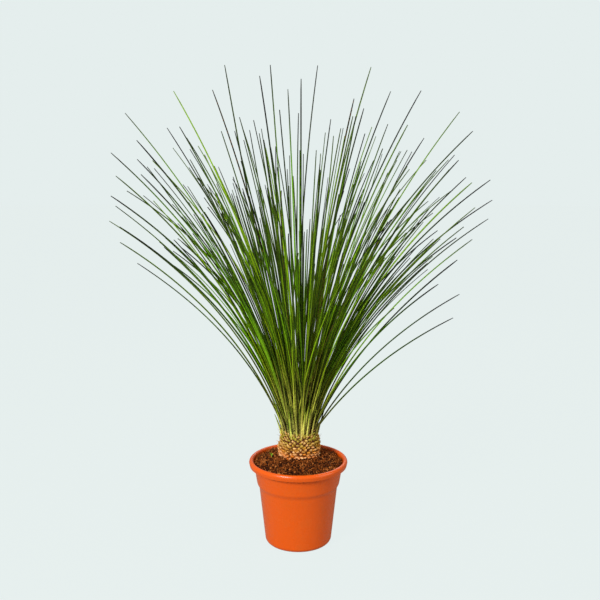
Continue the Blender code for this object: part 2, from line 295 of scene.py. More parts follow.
def height_on(line: list[Point], radius: float) -> float:
    """Reads a line's height at a radius.

    Args:
        line: Points whose radius rises along the line.
        radius: The radius.

    Returns:
        The height there, or at the nearer end.
    """
    for (inner, low), (outer, high) in zip(line, line[1:]):
        if inner <= radius <= outer:
            return low + (high - low) * (radius - inner) / (outer - inner)
    return line[0][1] if radius < line[0][0] else line[-1][1]


def turn_outline(outline: list[Point], segments: int) -> bmesh.types.BMesh:
    """Turns an outline about the Z axis into a closed solid.

    Args:
        outline: Points of radius and height, from the axis out and back to it.
        segments: The number of steps round the axis.

    Returns:
        The solid, with its seam and poles closed and its faces outwards.
    """
    bm = bmesh.new()
    verts = [bm.verts.new((max(radius, 0.0), 0.0, height)) for radius, height in outline]
    edges = [bm.edges.new(pair) for pair in zip(verts, verts[1:])]
    bmesh.ops.spin(bm, geom=verts + edges, axis=(0, 0, 1), angle=math.tau, steps=segments)
    bmesh.ops.remove_doubles(bm, verts=bm.verts, dist=MERGE_DISTANCE)
    bmesh.ops.dissolve_degenerate(bm, edges=bm.edges, dist=MERGE_DISTANCE)
    bmesh.ops.recalc_face_normals(bm, faces=bm.faces)
    return bm


def finished_mesh(name: str, bm: bmesh.types.BMesh, material: bpy.types.Material) -> bpy.types.Mesh:
    """Keeps a bmesh as a mesh with one finish.

    Args:
        name: The mesh's name.
        bm: The bmesh, which is freed.
        material: Its finish.

    Returns:
        The mesh.
    """
    mesh = bpy.data.meshes.new(name)
    bm.to_mesh(mesh)
    bm.free()
    mesh.materials.append(material)
    return mesh


@dataclass(frozen=True)
class MouldedPlastic:
    """Terracotta-coloured polypropylene, injection moulded in a finely spark-eroded tool.

    That gives the eye a strong even colour, a broad soft highlight, and a faint grain that shows only
    where the light grazes it. Handling leaves slightly duller patches.
    """

    colour: str = "#DE580C"
    scuff_colour: str = "#DA5B12"
    roughness: float = 0.26
    scuff_roughness: float = 0.36
    specular_level: float = 0.36
    grain_size: float = 0.0006
    scuff_size: float = 0.018

    def make(self) -> bpy.types.Material:
        """Builds the material."""
        material = bpy.data.materials.new("moulded_polypropylene")
        material.use_nodes = True
        tree = material.node_tree
        shader = tree.nodes["Principled BSDF"]
        shader.inputs["Specular IOR Level"].default_value = self.specular_level
        place = output(add_node(tree, "ShaderNodeTexCoord"), "Object")
        cloud = add_node(tree, "ShaderNodeTexNoise", {"Vector": place, "Scale": 1 / self.scuff_size, "Detail": 5.0})
        scuffs = add_node(tree, "ShaderNodeMapRange", {"Value": cloud, "From Min": 0.5, "From Max": 0.75})
        colour = add_node(
            tree, "ShaderNodeMix", {"Factor": scuffs, "A": self.colour, "B": self.scuff_colour}, data_type="RGBA"
        )
        gloss = add_node(
            tree,
            "ShaderNodeMapRange",
            {"Value": scuffs, "To Min": self.roughness, "To Max": self.scuff_roughness},
        )
        grain = add_node(tree, "ShaderNodeTexNoise", {"Vector": place, "Scale": 1 / self.grain_size, "Detail": 2.0})
        relief = add_node(tree, "ShaderNodeBump", {"Height": grain, "Strength": 0.12, "Distance": 0.0001})
        tree.links.new(output(colour), shader.inputs["Base Color"])
        tree.links.new(output(gloss), shader.inputs["Roughness"])
        tree.links.new(output(relief), shader.inputs["Normal"])
        return material


@dataclass(frozen=True)
class CoirMix:
    """Milled coir and bark, damp from watering.

    That gives the eye a dark red-brown mass, broken up by paler dry crumbs and near-black gaps, with
    hardly any gloss.
    """

    damp_colour: str = "#240B01"
    mean_colour: str = "#7C3E10"
    dry_colour: str = "#B87238"
    roughness: float = 0.9
    specular_level: float = 0.12
    crumb_size: float = 0.0016
    patch_size: float = 0.012

    def make(self) -> bpy.types.Material:
        """Builds the material. It reads tone, which is drawn once for each crumb and fibre."""
        material = bpy.data.materials.new("coir_potting_mix")
        material.use_nodes = True
        tree = material.node_tree
        shader = tree.nodes["Principled BSDF"]
        shader.inputs["Roughness"].default_value = self.roughness
        shader.inputs["Specular IOR Level"].default_value = self.specular_level
        place = output(add_node(tree, "ShaderNodeTexCoord"), "Object")
        tone = add_node(tree, "ShaderNodeAttribute", attribute_name="tone")
        crumbs = add_node(tree, "ShaderNodeTexNoise", {"Vector": place, "Scale": 1 / self.crumb_size, "Detail": 4.0})
        patches = add_node(tree, "ShaderNodeTexNoise", {"Vector": place, "Scale": 1 / self.patch_size, "Detail": 2.0})
        mixed = add_node(tree, "ShaderNodeMath", [crumbs, 0.55, output(tone, "Fac")], operation="MULTIPLY_ADD")
        shade = add_node(tree, "ShaderNodeMath", [patches, 0.35, mixed], operation="MULTIPLY_ADD")
        low = add_node(tree, "ShaderNodeMapRange", {"Value": shade, "From Min": 0.45, "From Max": 1.0})
        high = add_node(tree, "ShaderNodeMapRange", {"Value": shade, "From Min": 1.15, "From Max": 1.45})
        dark = add_node(
            tree, "ShaderNodeMix", {"Factor": low, "A": self.damp_colour, "B": self.mean_colour}, data_type="RGBA"
        )
        colour = add_node(
            tree, "ShaderNodeMix", {"Factor": high, "A": dark, "B": self.dry_colour}, data_type="RGBA"
        )
        relief = add_node(tree, "ShaderNodeBump", {"Height": crumbs, "Strength": 0.8, "Distance": 0.0006})
        tree.links.new(output(colour), shader.inputs["Base Color"])
        tree.links.new(output(relief), shader.inputs["Normal"])
        return material


@dataclass(frozen=True)
class CutLeafBase:
    """The woody butts of leaves that were cut off close to the trunk.

    That gives the eye pale cream to orange cut ends on tan sides, darkening towards each butt's foot and on
    the core between the butts to dark brown, which is dark chaff and painted shade in the gaps, and a greener
    cast on the younger butts near the top.
    """

    # Dark chaff, and also painted shade: each butt darkens to this colour towards its foot, and the bare core between
    # the butts takes it, where shade falls.
    chaff_and_shade_colour: str = "#48200C"
    side_colour: str = "#BC6A22"
    cut_colour: str = "#FFC488"
    rust_colour: str = "#E67C26"
    young_colour: str = "#A8A236"
    roughness: float = 0.6
    specular_level: float = 0.25
    fibre_size: float = 0.0009

    def make(self) -> bpy.types.Material:
        """Builds the material. It reads cut, 0 at a butt's foot to 1 on its end, tone and youth."""
        material = bpy.data.materials.new("cut_leaf_bases")
        material.use_nodes = True
        tree = material.node_tree
        shader = tree.nodes["Principled BSDF"]
        shader.inputs["Roughness"].default_value = self.roughness
        shader.inputs["Specular IOR Level"].default_value = self.specular_level
        place = output(add_node(tree, "ShaderNodeTexCoord"), "Object")
        read = {
            name: output(add_node(tree, "ShaderNodeAttribute", attribute_name=name), "Fac")
            for name in ("cut", "tone", "youth")
        }
        fibres = add_node(tree, "ShaderNodeTexNoise", {"Vector": place, "Scale": 1 / self.fibre_size, "Detail": 3.0})
        broken = add_node(tree, "ShaderNodeMath", [fibres, 0.6, read["cut"]], operation="MULTIPLY_ADD")
        rise = add_node(tree, "ShaderNodeMapRange", {"Value": broken, "From Min": 0.3, "From Max": 0.7})
        ends = add_node(tree, "ShaderNodeMapRange", {"Value": broken, "From Min": 0.7, "From Max": 1.1})
        rusty = add_node(tree, "ShaderNodeMapRange", {"Value": read["tone"], "From Min": 0.3, "From Max": 0.95})
        cut = add_node(
            tree, "ShaderNodeMix", {"Factor": rusty, "A": self.cut_colour, "B": self.rust_colour}, data_type="RGBA"
        )
        # Painted shade with the chaff: low on each butt, and on the core, the colour falls to the darkest colour.
        side = add_node(
            tree, "ShaderNodeMix", {"Factor": rise, "A": self.chaff_and_shade_colour, "B": self.side_colour}, data_type="RGBA"
        )
        dry = add_node(tree, "ShaderNodeMix", {"Factor": ends, "A": side, "B": cut}, data_type="RGBA")
        fading = add_node(tree, "ShaderNodeMapRange", {"Value": read["tone"], "From Max": 0.7, "To Min": 0.35})
        young = add_node(tree, "ShaderNodeMath", [read["youth"], rise], operation="MULTIPLY")
        fresh = add_node(tree, "ShaderNodeMath", [young, fading], operation="MULTIPLY")
        colour = add_node(
            tree, "ShaderNodeMix", {"Factor": fresh, "A": dry, "B": self.young_colour}, data_type="RGBA"
        )
        relief = add_node(tree, "ShaderNodeBump", {"Height": fibres, "Strength": 0.6, "Distance": 0.0004})
        tree.links.new(output(colour), shader.inputs["Base Color"])
        tree.links.new(output(relief), shader.inputs["Normal"])
        return material


@dataclass(frozen=True)
class LeafCuticle:
    """A tough evergreen leaf under a thin wax cuticle, ribbed along its length.

    That gives the eye a deep green with a satin gloss along the ribs, a yellow-green foot where the light
    never reached, and a grey-green outer half that is painted nearly black, a painted shade for how it
    looks against the light. One long side of each leaf is painted darker and the other lighter, a painted
    shade and highlight for its lit and shaded faces. Leaves differ, and each is a little mottled; the oldest
    have a few red-brown flecks.
    """

    foot_colour: str = "#B6AC5A"
    stages: tuple[tuple[float, float, str], ...] = (
        (0.010, 0.060, "#909638"),
        (0.080, 0.220, "#5E740C"),
        (0.220, 0.400, "#567E06"),
        (0.550, 0.700, "#466A08"),
        # Painted shade: the outer half is painted nearly black for how it looks against the light; the leaf itself is
        # grey-green there.
        (0.760, 0.960, "#161E0C"),
    )
    dry_colour: str = "#6E4424"
    dry_below_tone: float = 0.05
    roughness: float = 0.45
    specular_level: float = 0.15
    mottling: tuple[float, float, float] = (150.0, 1.3, 40.0)
    value_range: Point = (0.0, 2.4)
    # Darkest and lightest factor of the painted shade and painted highlight on the two long sides of a leaf.
    painted_side_light_range: Point = (0.25, 1.5)
    hue_range: Point = (0.48, 0.512)
    ribs_across: float = 7.0

    def make(self) -> bpy.types.Material:
        """Builds the material. It reads along and across, the place on the leaf, and tone."""
        material = bpy.data.materials.new("waxy_leaf")
        material.use_nodes = True
        tree = material.node_tree
        shader = tree.nodes["Principled BSDF"]
        shader.inputs["Roughness"].default_value = self.roughness
        shader.inputs["Specular IOR Level"].default_value = self.specular_level
        read = {
            name: output(add_node(tree, "ShaderNodeAttribute", attribute_name=name), "Fac")
            for name in ("along", "across", "tone")
        }
        on_leaf = add_node(tree, "ShaderNodeCombineXYZ", [read["along"], read["across"], read["tone"]])
        stretched = add_node(tree, "ShaderNodeVectorMath", [on_leaf, self.mottling], operation="MULTIPLY")
        mottle = add_node(tree, "ShaderNodeTexNoise", {"Vector": stretched, "Scale": 1.0, "Detail": 2.0})
        other_tone = add_node(tree, "ShaderNodeMath", [read["tone"], 7.0], operation="MULTIPLY")
        other_tone = add_node(tree, "ShaderNodeMath", [other_tone], operation="FRACT")
        ripeness = add_node(tree, "ShaderNodeMapRange", {"Value": other_tone, "To Min": 0.8, "To Max": 1.1})
        reached = add_node(tree, "ShaderNodeMath", [read["along"], ripeness], operation="MULTIPLY")
        place = add_node(tree, "ShaderNodeMath", [mottle, 0.06, reached], operation="MULTIPLY_ADD")
        colour = self.foot_colour
        for start, end, shade in self.stages:
            share = add_node(tree, "ShaderNodeMapRange", {"Value": place, "From Min": start + 0.03, "From Max": end + 0.03})
            colour = add_node(tree, "ShaderNodeMix", {"Factor": share, "A": colour, "B": shade}, data_type="RGBA")
        brightness = add_node(tree, "ShaderNodeMath", [mottle, 1.6, read["tone"]], operation="MULTIPLY_ADD")
        value = add_node(
            tree,
            "ShaderNodeMapRange",
            {
                "Value": brightness,
                "From Min": 0.64,
                "From Max": 2.15,
                "To Min": self.value_range[0],
                "To Max": self.value_range[1],
            },
        )
        # Painted light and shade: picked at random by tone, one long side of each leaf is painted darker and the
        # other lighter, standing in for its shaded and lit faces.
        side = add_node(tree, "ShaderNodeMath", [read["tone"], 13.0], operation="MULTIPLY")
        side = add_node(tree, "ShaderNodeMath", [side, 1.0], operation="PINGPONG")
        side = add_node(tree, "ShaderNodeMath", [side, 0.5], operation="SUBTRACT")
        side = add_node(tree, "ShaderNodeMath", [side], operation="SIGN")
        side = add_node(tree, "ShaderNodeMath", [side, read["across"]], operation="MULTIPLY")
        painted_side_light = add_node(
            tree,
            "ShaderNodeMapRange",
            {
                "Value": side,
                "From Min": -0.7,
                "From Max": 0.5,
                "To Min": self.painted_side_light_range[0],
                "To Max": self.painted_side_light_range[1],
            },
        )
        value = add_node(tree, "ShaderNodeMath", [value, painted_side_light], operation="MULTIPLY")
        hue = add_node(
            tree,
            "ShaderNodeMapRange",
            {"Value": other_tone, "To Min": self.hue_range[0], "To Max": self.hue_range[1]},
        )
        living = add_node(
            tree, "ShaderNodeHueSaturation", {"Hue": hue, "Value": value, "Color": colour}
        )
        old = add_node(tree, "ShaderNodeMath", [read["tone"], self.dry_below_tone], operation="LESS_THAN")
        flecks = add_node(tree, "ShaderNodeMapRange", {"Value": mottle, "From Min": 0.56, "From Max": 0.6})
        dry = add_node(tree, "ShaderNodeMath", [old, flecks], operation="MULTIPLY")
        finished = add_node(
            tree, "ShaderNodeMix", {"Factor": dry, "A": living, "B": self.dry_colour}, data_type="RGBA"
        )
        ribs = add_node(
            tree, "ShaderNodeMath", [read["across"], self.ribs_across * math.pi], operation="MULTIPLY"
        )
        wave = add_node(tree, "ShaderNodeMath", [ribs], operation="SINE")
        relief = add_node(tree, "ShaderNodeBump", {"Height": wave, "Strength": 0.25, "Distance": 0.0001})
        tree.links.new(output(finished), shader.inputs["Base Color"])
        tree.links.new(output(relief), shader.inputs["Normal"])
        return material


@dataclass(frozen=True)
class StudioPaper:
    """A pale seamless studio paper, lit so evenly that it shows only a faint contact shadow."""

    colour: str = "#E5EEED"
    lit_colour: str = "#9A9A92"
    glow_share: float = 0.94
    glow_strength: float = 1.05

    def make(self) -> bpy.types.Material:
        """Builds the material."""
        material = bpy.data.materials.new("studio_paper")
        material.use_nodes = True
        tree = material.node_tree
        shader = tree.nodes["Principled BSDF"]
        shader.inputs["Base Color"].default_value = linear_colour(self.lit_colour)
        shader.inputs["Roughness"].default_value = 0.9
        shader.inputs["Specular IOR Level"].default_value = 0.0
        seen = output(add_node(tree, "ShaderNodeLightPath"), "Is Camera Ray")
        share = add_node(tree, "ShaderNodeMath", [seen, self.glow_share], operation="MULTIPLY")
        glow = add_node(tree, "ShaderNodeEmission", {"Color": self.colour, "Strength": self.glow_strength})
        mixed = add_node(tree, "ShaderNodeMixShader", [share, shader, glow])
        tree.links.new(output(mixed), tree.nodes["Material Output"].inputs["Surface"])
        return material


@dataclass
class NurseryPot:
    """The thin moulded pot: a drained foot, a stepped shoulder, a collar and a rolled rim."""

    rim_radius: float = 0.085
    height: float = 0.148
    wall: float = 0.0015
    foot_radius: float = 0.0577
    foot_rounding: float = 0.0079
    pad_radius: float = 0.022
    channel_radii: Point = (0.025, 0.043)
    channel_rise: float = 0.0025
    foot_ring_inner: float = 0.046
    shoulder: tuple[Point, ...] = ((0.0674, 0.0980), (0.0684, 0.1015), (0.0712, 0.1065))
    collar_top: Point = (0.0758, 0.1340)
    lip_width: float = 0.008
    lip_drop: float = 0.0105
    lip_tuck: float = 0.0013
    corner_reach: float = 0.0022
    segments: int = 160
    drain_holes: int = 8
    drain_hole_radius: float = 0.0045
    drain_circle_radius: float = 0.034
    finish: MouldedPlastic = MouldedPlastic()

    def wall_line(self) -> list[Point]:
        """Draws the middle of the floor and wall, from the axis out and up to the collar's top."""
        half = self.wall / 2
        rounding = self.foot_rounding - half
        corner = (self.foot_radius - self.foot_rounding, self.foot_rounding)
        return [
            (0.0, half),
            (self.pad_radius, half),
            (self.channel_radii[0], half + self.channel_rise),
            (self.channel_radii[1], half + self.channel_rise),
            (self.foot_ring_inner, half),
            *arc(corner, (rounding, rounding), -90, 0, 8),
            *[(radius - half, height) for radius, height in (*self.shoulder, self.collar_top)],
        ]

    def lip_line(self) -> list[Point]:
        """Draws the middle of the rolled rim, from the wall's top over and down to its free edge."""
        half = self.wall / 2
        centre = (self.rim_radius - self.lip_width / 2, self.height - self.lip_drop / 2)
        radii = (self.lip_width / 2 - half, self.lip_drop / 2 - half)
        free_edge = (self.rim_radius - half - self.lip_tuck, self.height - self.lip_drop)
        return [*arc(centre, radii, 180, 0, 18), free_edge]

    def cut_drain_holes(self, pot: bpy.types.Object) -> None:
        """Cuts the drain holes through the raised channel and keeps the result.

        Args:
            pot: The pot, whose mesh is replaced by the cut one.
        """
        bm = bmesh.new()
        for index in range(self.drain_holes):
            turn = math.tau * (index + 0.5) / self.drain_holes
            rod = bmesh.ops.create_cone(
                bm,
                cap_ends=True,
                segments=24,
                radius1=self.drain_hole_radius,
                radius2=self.drain_hole_radius,
                depth=self.channel_rise * 8,
            )
            place = Vector((math.cos(turn), math.sin(turn), 0)) * self.drain_circle_radius
            bmesh.ops.translate(bm, verts=rod["verts"], vec=place)
        cutter = make_piece("drain_cutter", finished_mesh("drain_cutter", bm, pot.data.materials[0]))
        cut = pot.modifiers.new("drain_holes", "BOOLEAN")
        cut.operation = "DIFFERENCE"
        cut.object = cutter
        graph = bpy.context.evaluated_depsgraph_get()
        mesh = bpy.data.meshes.new_from_object(pot.evaluated_get(graph), depsgraph=graph)
        pot.modifiers.clear()
        pot.data = mesh
        bpy.data.objects.remove(cutter)

    def build(self) -> bpy.types.Object:
        """Builds and dresses the pot."""
        middle = round_corners(self.wall_line() + self.lip_line(), self.corner_reach, 4)
        outline = offset_line(middle, -self.wall / 2) + offset_line(middle, self.wall / 2)[::-1]
        bm = turn_outline(outline, self.segments)
        pot = make_piece("nursery_pot", finished_mesh("nursery_pot", bm, self.finish.make()))
        self.cut_drain_holes(pot)
        return hand_over(pot, Slot.POT, "pot")


@dataclass
class SoilBed:
    """The potting mix: a low mound to the trunk, with loose crumbs, chips and coir fibres on it."""

    pot: NurseryPot
    trunk_place: Vector
    trunk_radius: float
    gap: float = 0.0003
    edge_radius: float = 0.0745
    edge_height: float = 0.1425
    crown_radius: float = 0.034
    crown_height: float = 0.1540
    rings: int = 46
    segments: int = 200
    clods: tuple[Point, ...] = ((0.0130, 0.0026), (0.0055, 0.0024), (0.0024, 0.0012))
    crumbs_per_m2: float = 210000.0
    fibres_per_m2: float = 32000.0
    hollows: tuple[tuple[float, float, float, float], ...] = (
        (-0.055, -0.047, 0.024, 0.0075),
        (0.036, 0.000, 0.013, 0.0070),
    )
    seed: int = 3

    def surface_height(self, x: float, y: float) -> float:
        """Reads the height of the soil under a point.

        Args:
            x: The point's place across the front.
            y: The point's place from front to back.

        Returns:
            The height, with the clods.
        """
        radius = math.hypot(x, y)
        share = (self.edge_radius - radius) / (self.edge_radius - self.crown_radius)
        rise = math.sin(min(max(share, 0.0), 1.0) * math.pi / 2)
        height = self.edge_height + (self.crown_height - self.edge_height) * rise
        for size, depth in self.clods:
            height += depth * noise.noise(Vector((x, y, 0.0)) / size)
        for hollow_x, hollow_y, reach, depth in self.hollows:
            nearness = max(0.0, 1 - math.hypot(x - hollow_x, y - hollow_y) / reach)
            height -= depth * math.sin(nearness * math.pi / 2) ** 2
        return height

    def bed(self, material: bpy.types.Material) -> bpy.types.Mesh:
        """Builds the solid bed, from the pot's floor up to the soil's surface.

        Args:
            material: Its finish.

        Returns:
            The mesh.
        """
        wall = offset_line(self.pot.wall_line(), self.pot.wall / 2 + self.gap)
        buried = [point for point in wall if point[1] < self.edge_height - self.clods[0][1] * 2]
        step = self.edge_radius / self.rings
        top = [(self.edge_radius - step * ring, self.edge_height) for ring in range(self.rings + 1)]
        bm = turn_outline([*buried, *top], self.segments)
        for vert in bm.verts:
            if vert.co.z > self.edge_height - self.gap:
                vert.co.z = self.surface_height(vert.co.x, vert.co.y)
        return finished_mesh("soil_bed", bm, material)

    def scatter_tree(self, name: str, chips: bpy.types.Material) -> bpy.types.NodeTree:
        """Builds the tree that strews crumbs and chips on the soil.

        Args:
            name: The tree's name.
            chips: The finish of the crumbs.

        Returns:
            The tree.
        """
        sizes = {"Density": 1.0, "Smallest": 0.001, "Largest": 0.001, "Roughening": 0.001, "Seed": 0}
        tree, given = new_tree(name, sizes)
        upward = add_node(tree, "ShaderNodeSeparateXYZ", [add_node(tree, "GeometryNodeInputNormal")])
        axis = add_node(
            tree,
            "ShaderNodeVectorMath",
            [add_node(tree, "GeometryNodeInputPosition"), tuple(self.trunk_place)],
            operation="SUBTRACT",
        )
        flat = add_node(tree, "ShaderNodeVectorMath", [axis, (1.0, 1.0, 0.0)], operation="MULTIPLY")
        away = add_node(tree, "ShaderNodeVectorMath", [flat], operation="LENGTH")
        outside = add_node(
            tree, "ShaderNodeMath", [output(away, "Value"), self.trunk_radius], operation="GREATER_THAN"
        )
        facing = add_node(tree, "ShaderNodeMath", [output(upward, "Z"), 0.4], operation="GREATER_THAN")
        bare = add_node(tree, "ShaderNodeMath", [outside, facing], operation="MULTIPLY")
        spots = add_node(
            tree,
            "GeometryNodeDistributePointsOnFaces",
            {
                "Mesh": given.outputs["Geometry"],
                "Selection": bare,
                "Density": given.outputs["Density"],
                "Seed": given.outputs["Seed"],
            },
        )
        lump = add_node(tree, "GeometryNodeMeshIcoSphere", {"Radius": 1.0, "Subdivisions": 1})
        shapes = [
            add_node(tree, "GeometryNodeTransform", {"Geometry": lump, "Scale": scale})
            for scale in ((1.0, 0.85, 0.7), (1.5, 0.55, 0.35), (1.1, 0.9, 0.3))
        ]
        choice = add_node(tree, "GeometryNodeGeometryToInstance", [shapes])
        chance = add_node(
            tree, "FunctionNodeRandomValue", {"Seed": given.outputs["Seed"]}, data_type="FLOAT"
        )
        skewed = add_node(tree, "ShaderNodeMath", [chance, 2.2], operation="POWER")
        size = add_node(
            tree,
            "ShaderNodeMapRange",
            {"Value": skewed, "To Min": given.outputs["Smallest"], "To Max": given.outputs["Largest"]},
        )
        turn = add_node(
            tree,
            "FunctionNodeRandomValue",
            {"Min": (0.0, 0.0, 0.0), "Max": (math.tau, math.tau, math.tau), "Seed": 5},
            data_type="FLOAT_VECTOR",
        )
        strewn = add_node(
            tree,
            "GeometryNodeInstanceOnPoints",
            {"Points": spots, "Instance": choice, "Pick Instance": True, "Rotation": turn, "Scale": size},
        )
        tone = add_node(tree, "FunctionNodeRandomValue", {"Seed": 11}, data_type="FLOAT")
        toned = add_node(
            tree,
            "GeometryNodeStoreNamedAttribute",
            {"Geometry": strewn, "Name": "tone", "Value": tone},
            domain="INSTANCE",
        )
        real = add_node(tree, "GeometryNodeRealizeInstances", {"Geometry": toned})
        rough = add_node(tree, "ShaderNodeTexNoise", {"Scale": 600.0, "Detail": 1.0})
        centred = add_node(
            tree, "ShaderNodeVectorMath", [output(rough, "Color"), (0.5, 0.5, 0.5)], operation="SUBTRACT"
        )
        shift = add_node(
            tree, "ShaderNodeVectorMath", [centred, given.outputs["Roughening"]], operation="SCALE"
        )
        broken = add_node(tree, "GeometryNodeSetPosition", {"Geometry": real, "Offset": shift})
        end_tree(tree, broken, chips)
        return tree

    def fibre_tree(self, name: str, coir: bpy.types.Material) -> bpy.types.NodeTree:
        """Builds the tree that lays curled coir fibres on the soil.

        Args:
            name: The tree's name.
            coir: The finish of the fibres.

        Returns:
            The tree.
        """
        sizes = {"Density": 1.0, "Shortest": 0.01, "Longest": 0.01, "Thickness": 0.001, "Curl": 0.001, "Seed": 0}
        tree, given = new_tree(name, sizes)
        upward = add_node(tree, "ShaderNodeSeparateXYZ", [add_node(tree, "GeometryNodeInputNormal")])
        facing = add_node(tree, "ShaderNodeMath", [output(upward, "Z"), 0.4], operation="GREATER_THAN")
        spots = add_node(
            tree,
            "GeometryNodeDistributePointsOnFaces",
            {
                "Mesh": given.outputs["Geometry"],
                "Selection": facing,
                "Density": given.outputs["Density"],
                "Seed": given.outputs["Seed"],
            },
        )
        straight = add_node(tree, "GeometryNodeCurvePrimitiveLine", {"Start": (-0.5, 0, 0), "End": (0.5, 0, 0)})
        jointed = add_node(tree, "GeometryNodeResampleCurve", {"Curve": straight, "Count": 7})
        turn = add_node(
            tree,
            "FunctionNodeRandomValue",
            {"Min": (-0.2, -0.2, 0.0), "Max": (0.2, 0.2, math.tau), "Seed": 2},
            data_type="FLOAT_VECTOR",
        )
        length = add_node(
            tree,
            "FunctionNodeRandomValue",
            {"Min": given.outputs["Shortest"], "Max": given.outputs["Longest"], "Seed": 3},
            data_type="FLOAT",
        )
        laid = add_node(
            tree,
            "GeometryNodeInstanceOnPoints",
            {"Points": spots, "Instance": jointed, "Rotation": turn, "Scale": length},
        )
        tone = add_node(
            tree, "FunctionNodeRandomValue", {"Min": 0.3, "Max": 1.0, "Seed": 4}, data_type="FLOAT"
        )
        toned = add_node(
            tree,
            "GeometryNodeStoreNamedAttribute",
            {"Geometry": laid, "Name": "tone", "Value": tone},
            domain="INSTANCE",
        )
        real = add_node(tree, "GeometryNodeRealizeInstances", {"Geometry": toned})
        curl = add_node(tree, "ShaderNodeTexNoise", {"Scale": 160.0, "Detail": 1.0})
        centred = add_node(
            tree, "ShaderNodeVectorMath", [output(curl, "Color"), (0.5, 0.5, 0.45)], operation="SUBTRACT"
        )
        shift = add_node(
            tree, "ShaderNodeVectorMath", [centred, given.outputs["Curl"]], operation="SCALE"
        )
        curled = add_node(tree, "GeometryNodeSetPosition", {"Geometry": real, "Offset": shift})
        section = add_node(
            tree, "GeometryNodeCurvePrimitiveCircle", {"Resolution": 4, "Radius": given.outputs["Thickness"]}
        )
        fibre = add_node(
            tree,
            "GeometryNodeCurveToMesh",
            {"Curve": curled, "Profile Curve": section, "Fill Caps": True},
        )
        end_tree(tree, fibre, coir)
        return tree

    def build(self) -> list[bpy.types.Object]:
        """Builds and dresses the bed, its crumbs and its fibres."""
        mix = CoirMix().make()
        bed = make_piece("soil_bed", self.bed(mix))
        crumbs = grow(
            "soil_crumbs",
            bed.data,
            self.scatter_tree("soil_crumbs", mix),
            {
                "Density": self.crumbs_per_m2,
                "Smallest": 0.0005,
                "Largest": 0.0030,
                "Roughening": 0.0013,
                "Seed": self.seed,
            },
        )
        fibres = grow(
            "coir_fibres",
            bed.data,
            self.fibre_tree("coir_fibres", mix),
            {
                "Density": self.fibres_per_m2,
                "Shortest": 0.005,
                "Longest": 0.014,
                "Thickness": 0.00022,
                "Curl": 0.008,
                "Seed": self.seed,
            },
        )
        return [hand_over(piece, Slot.SOIL, "soil") for piece in (bed, crumbs, fibres)]


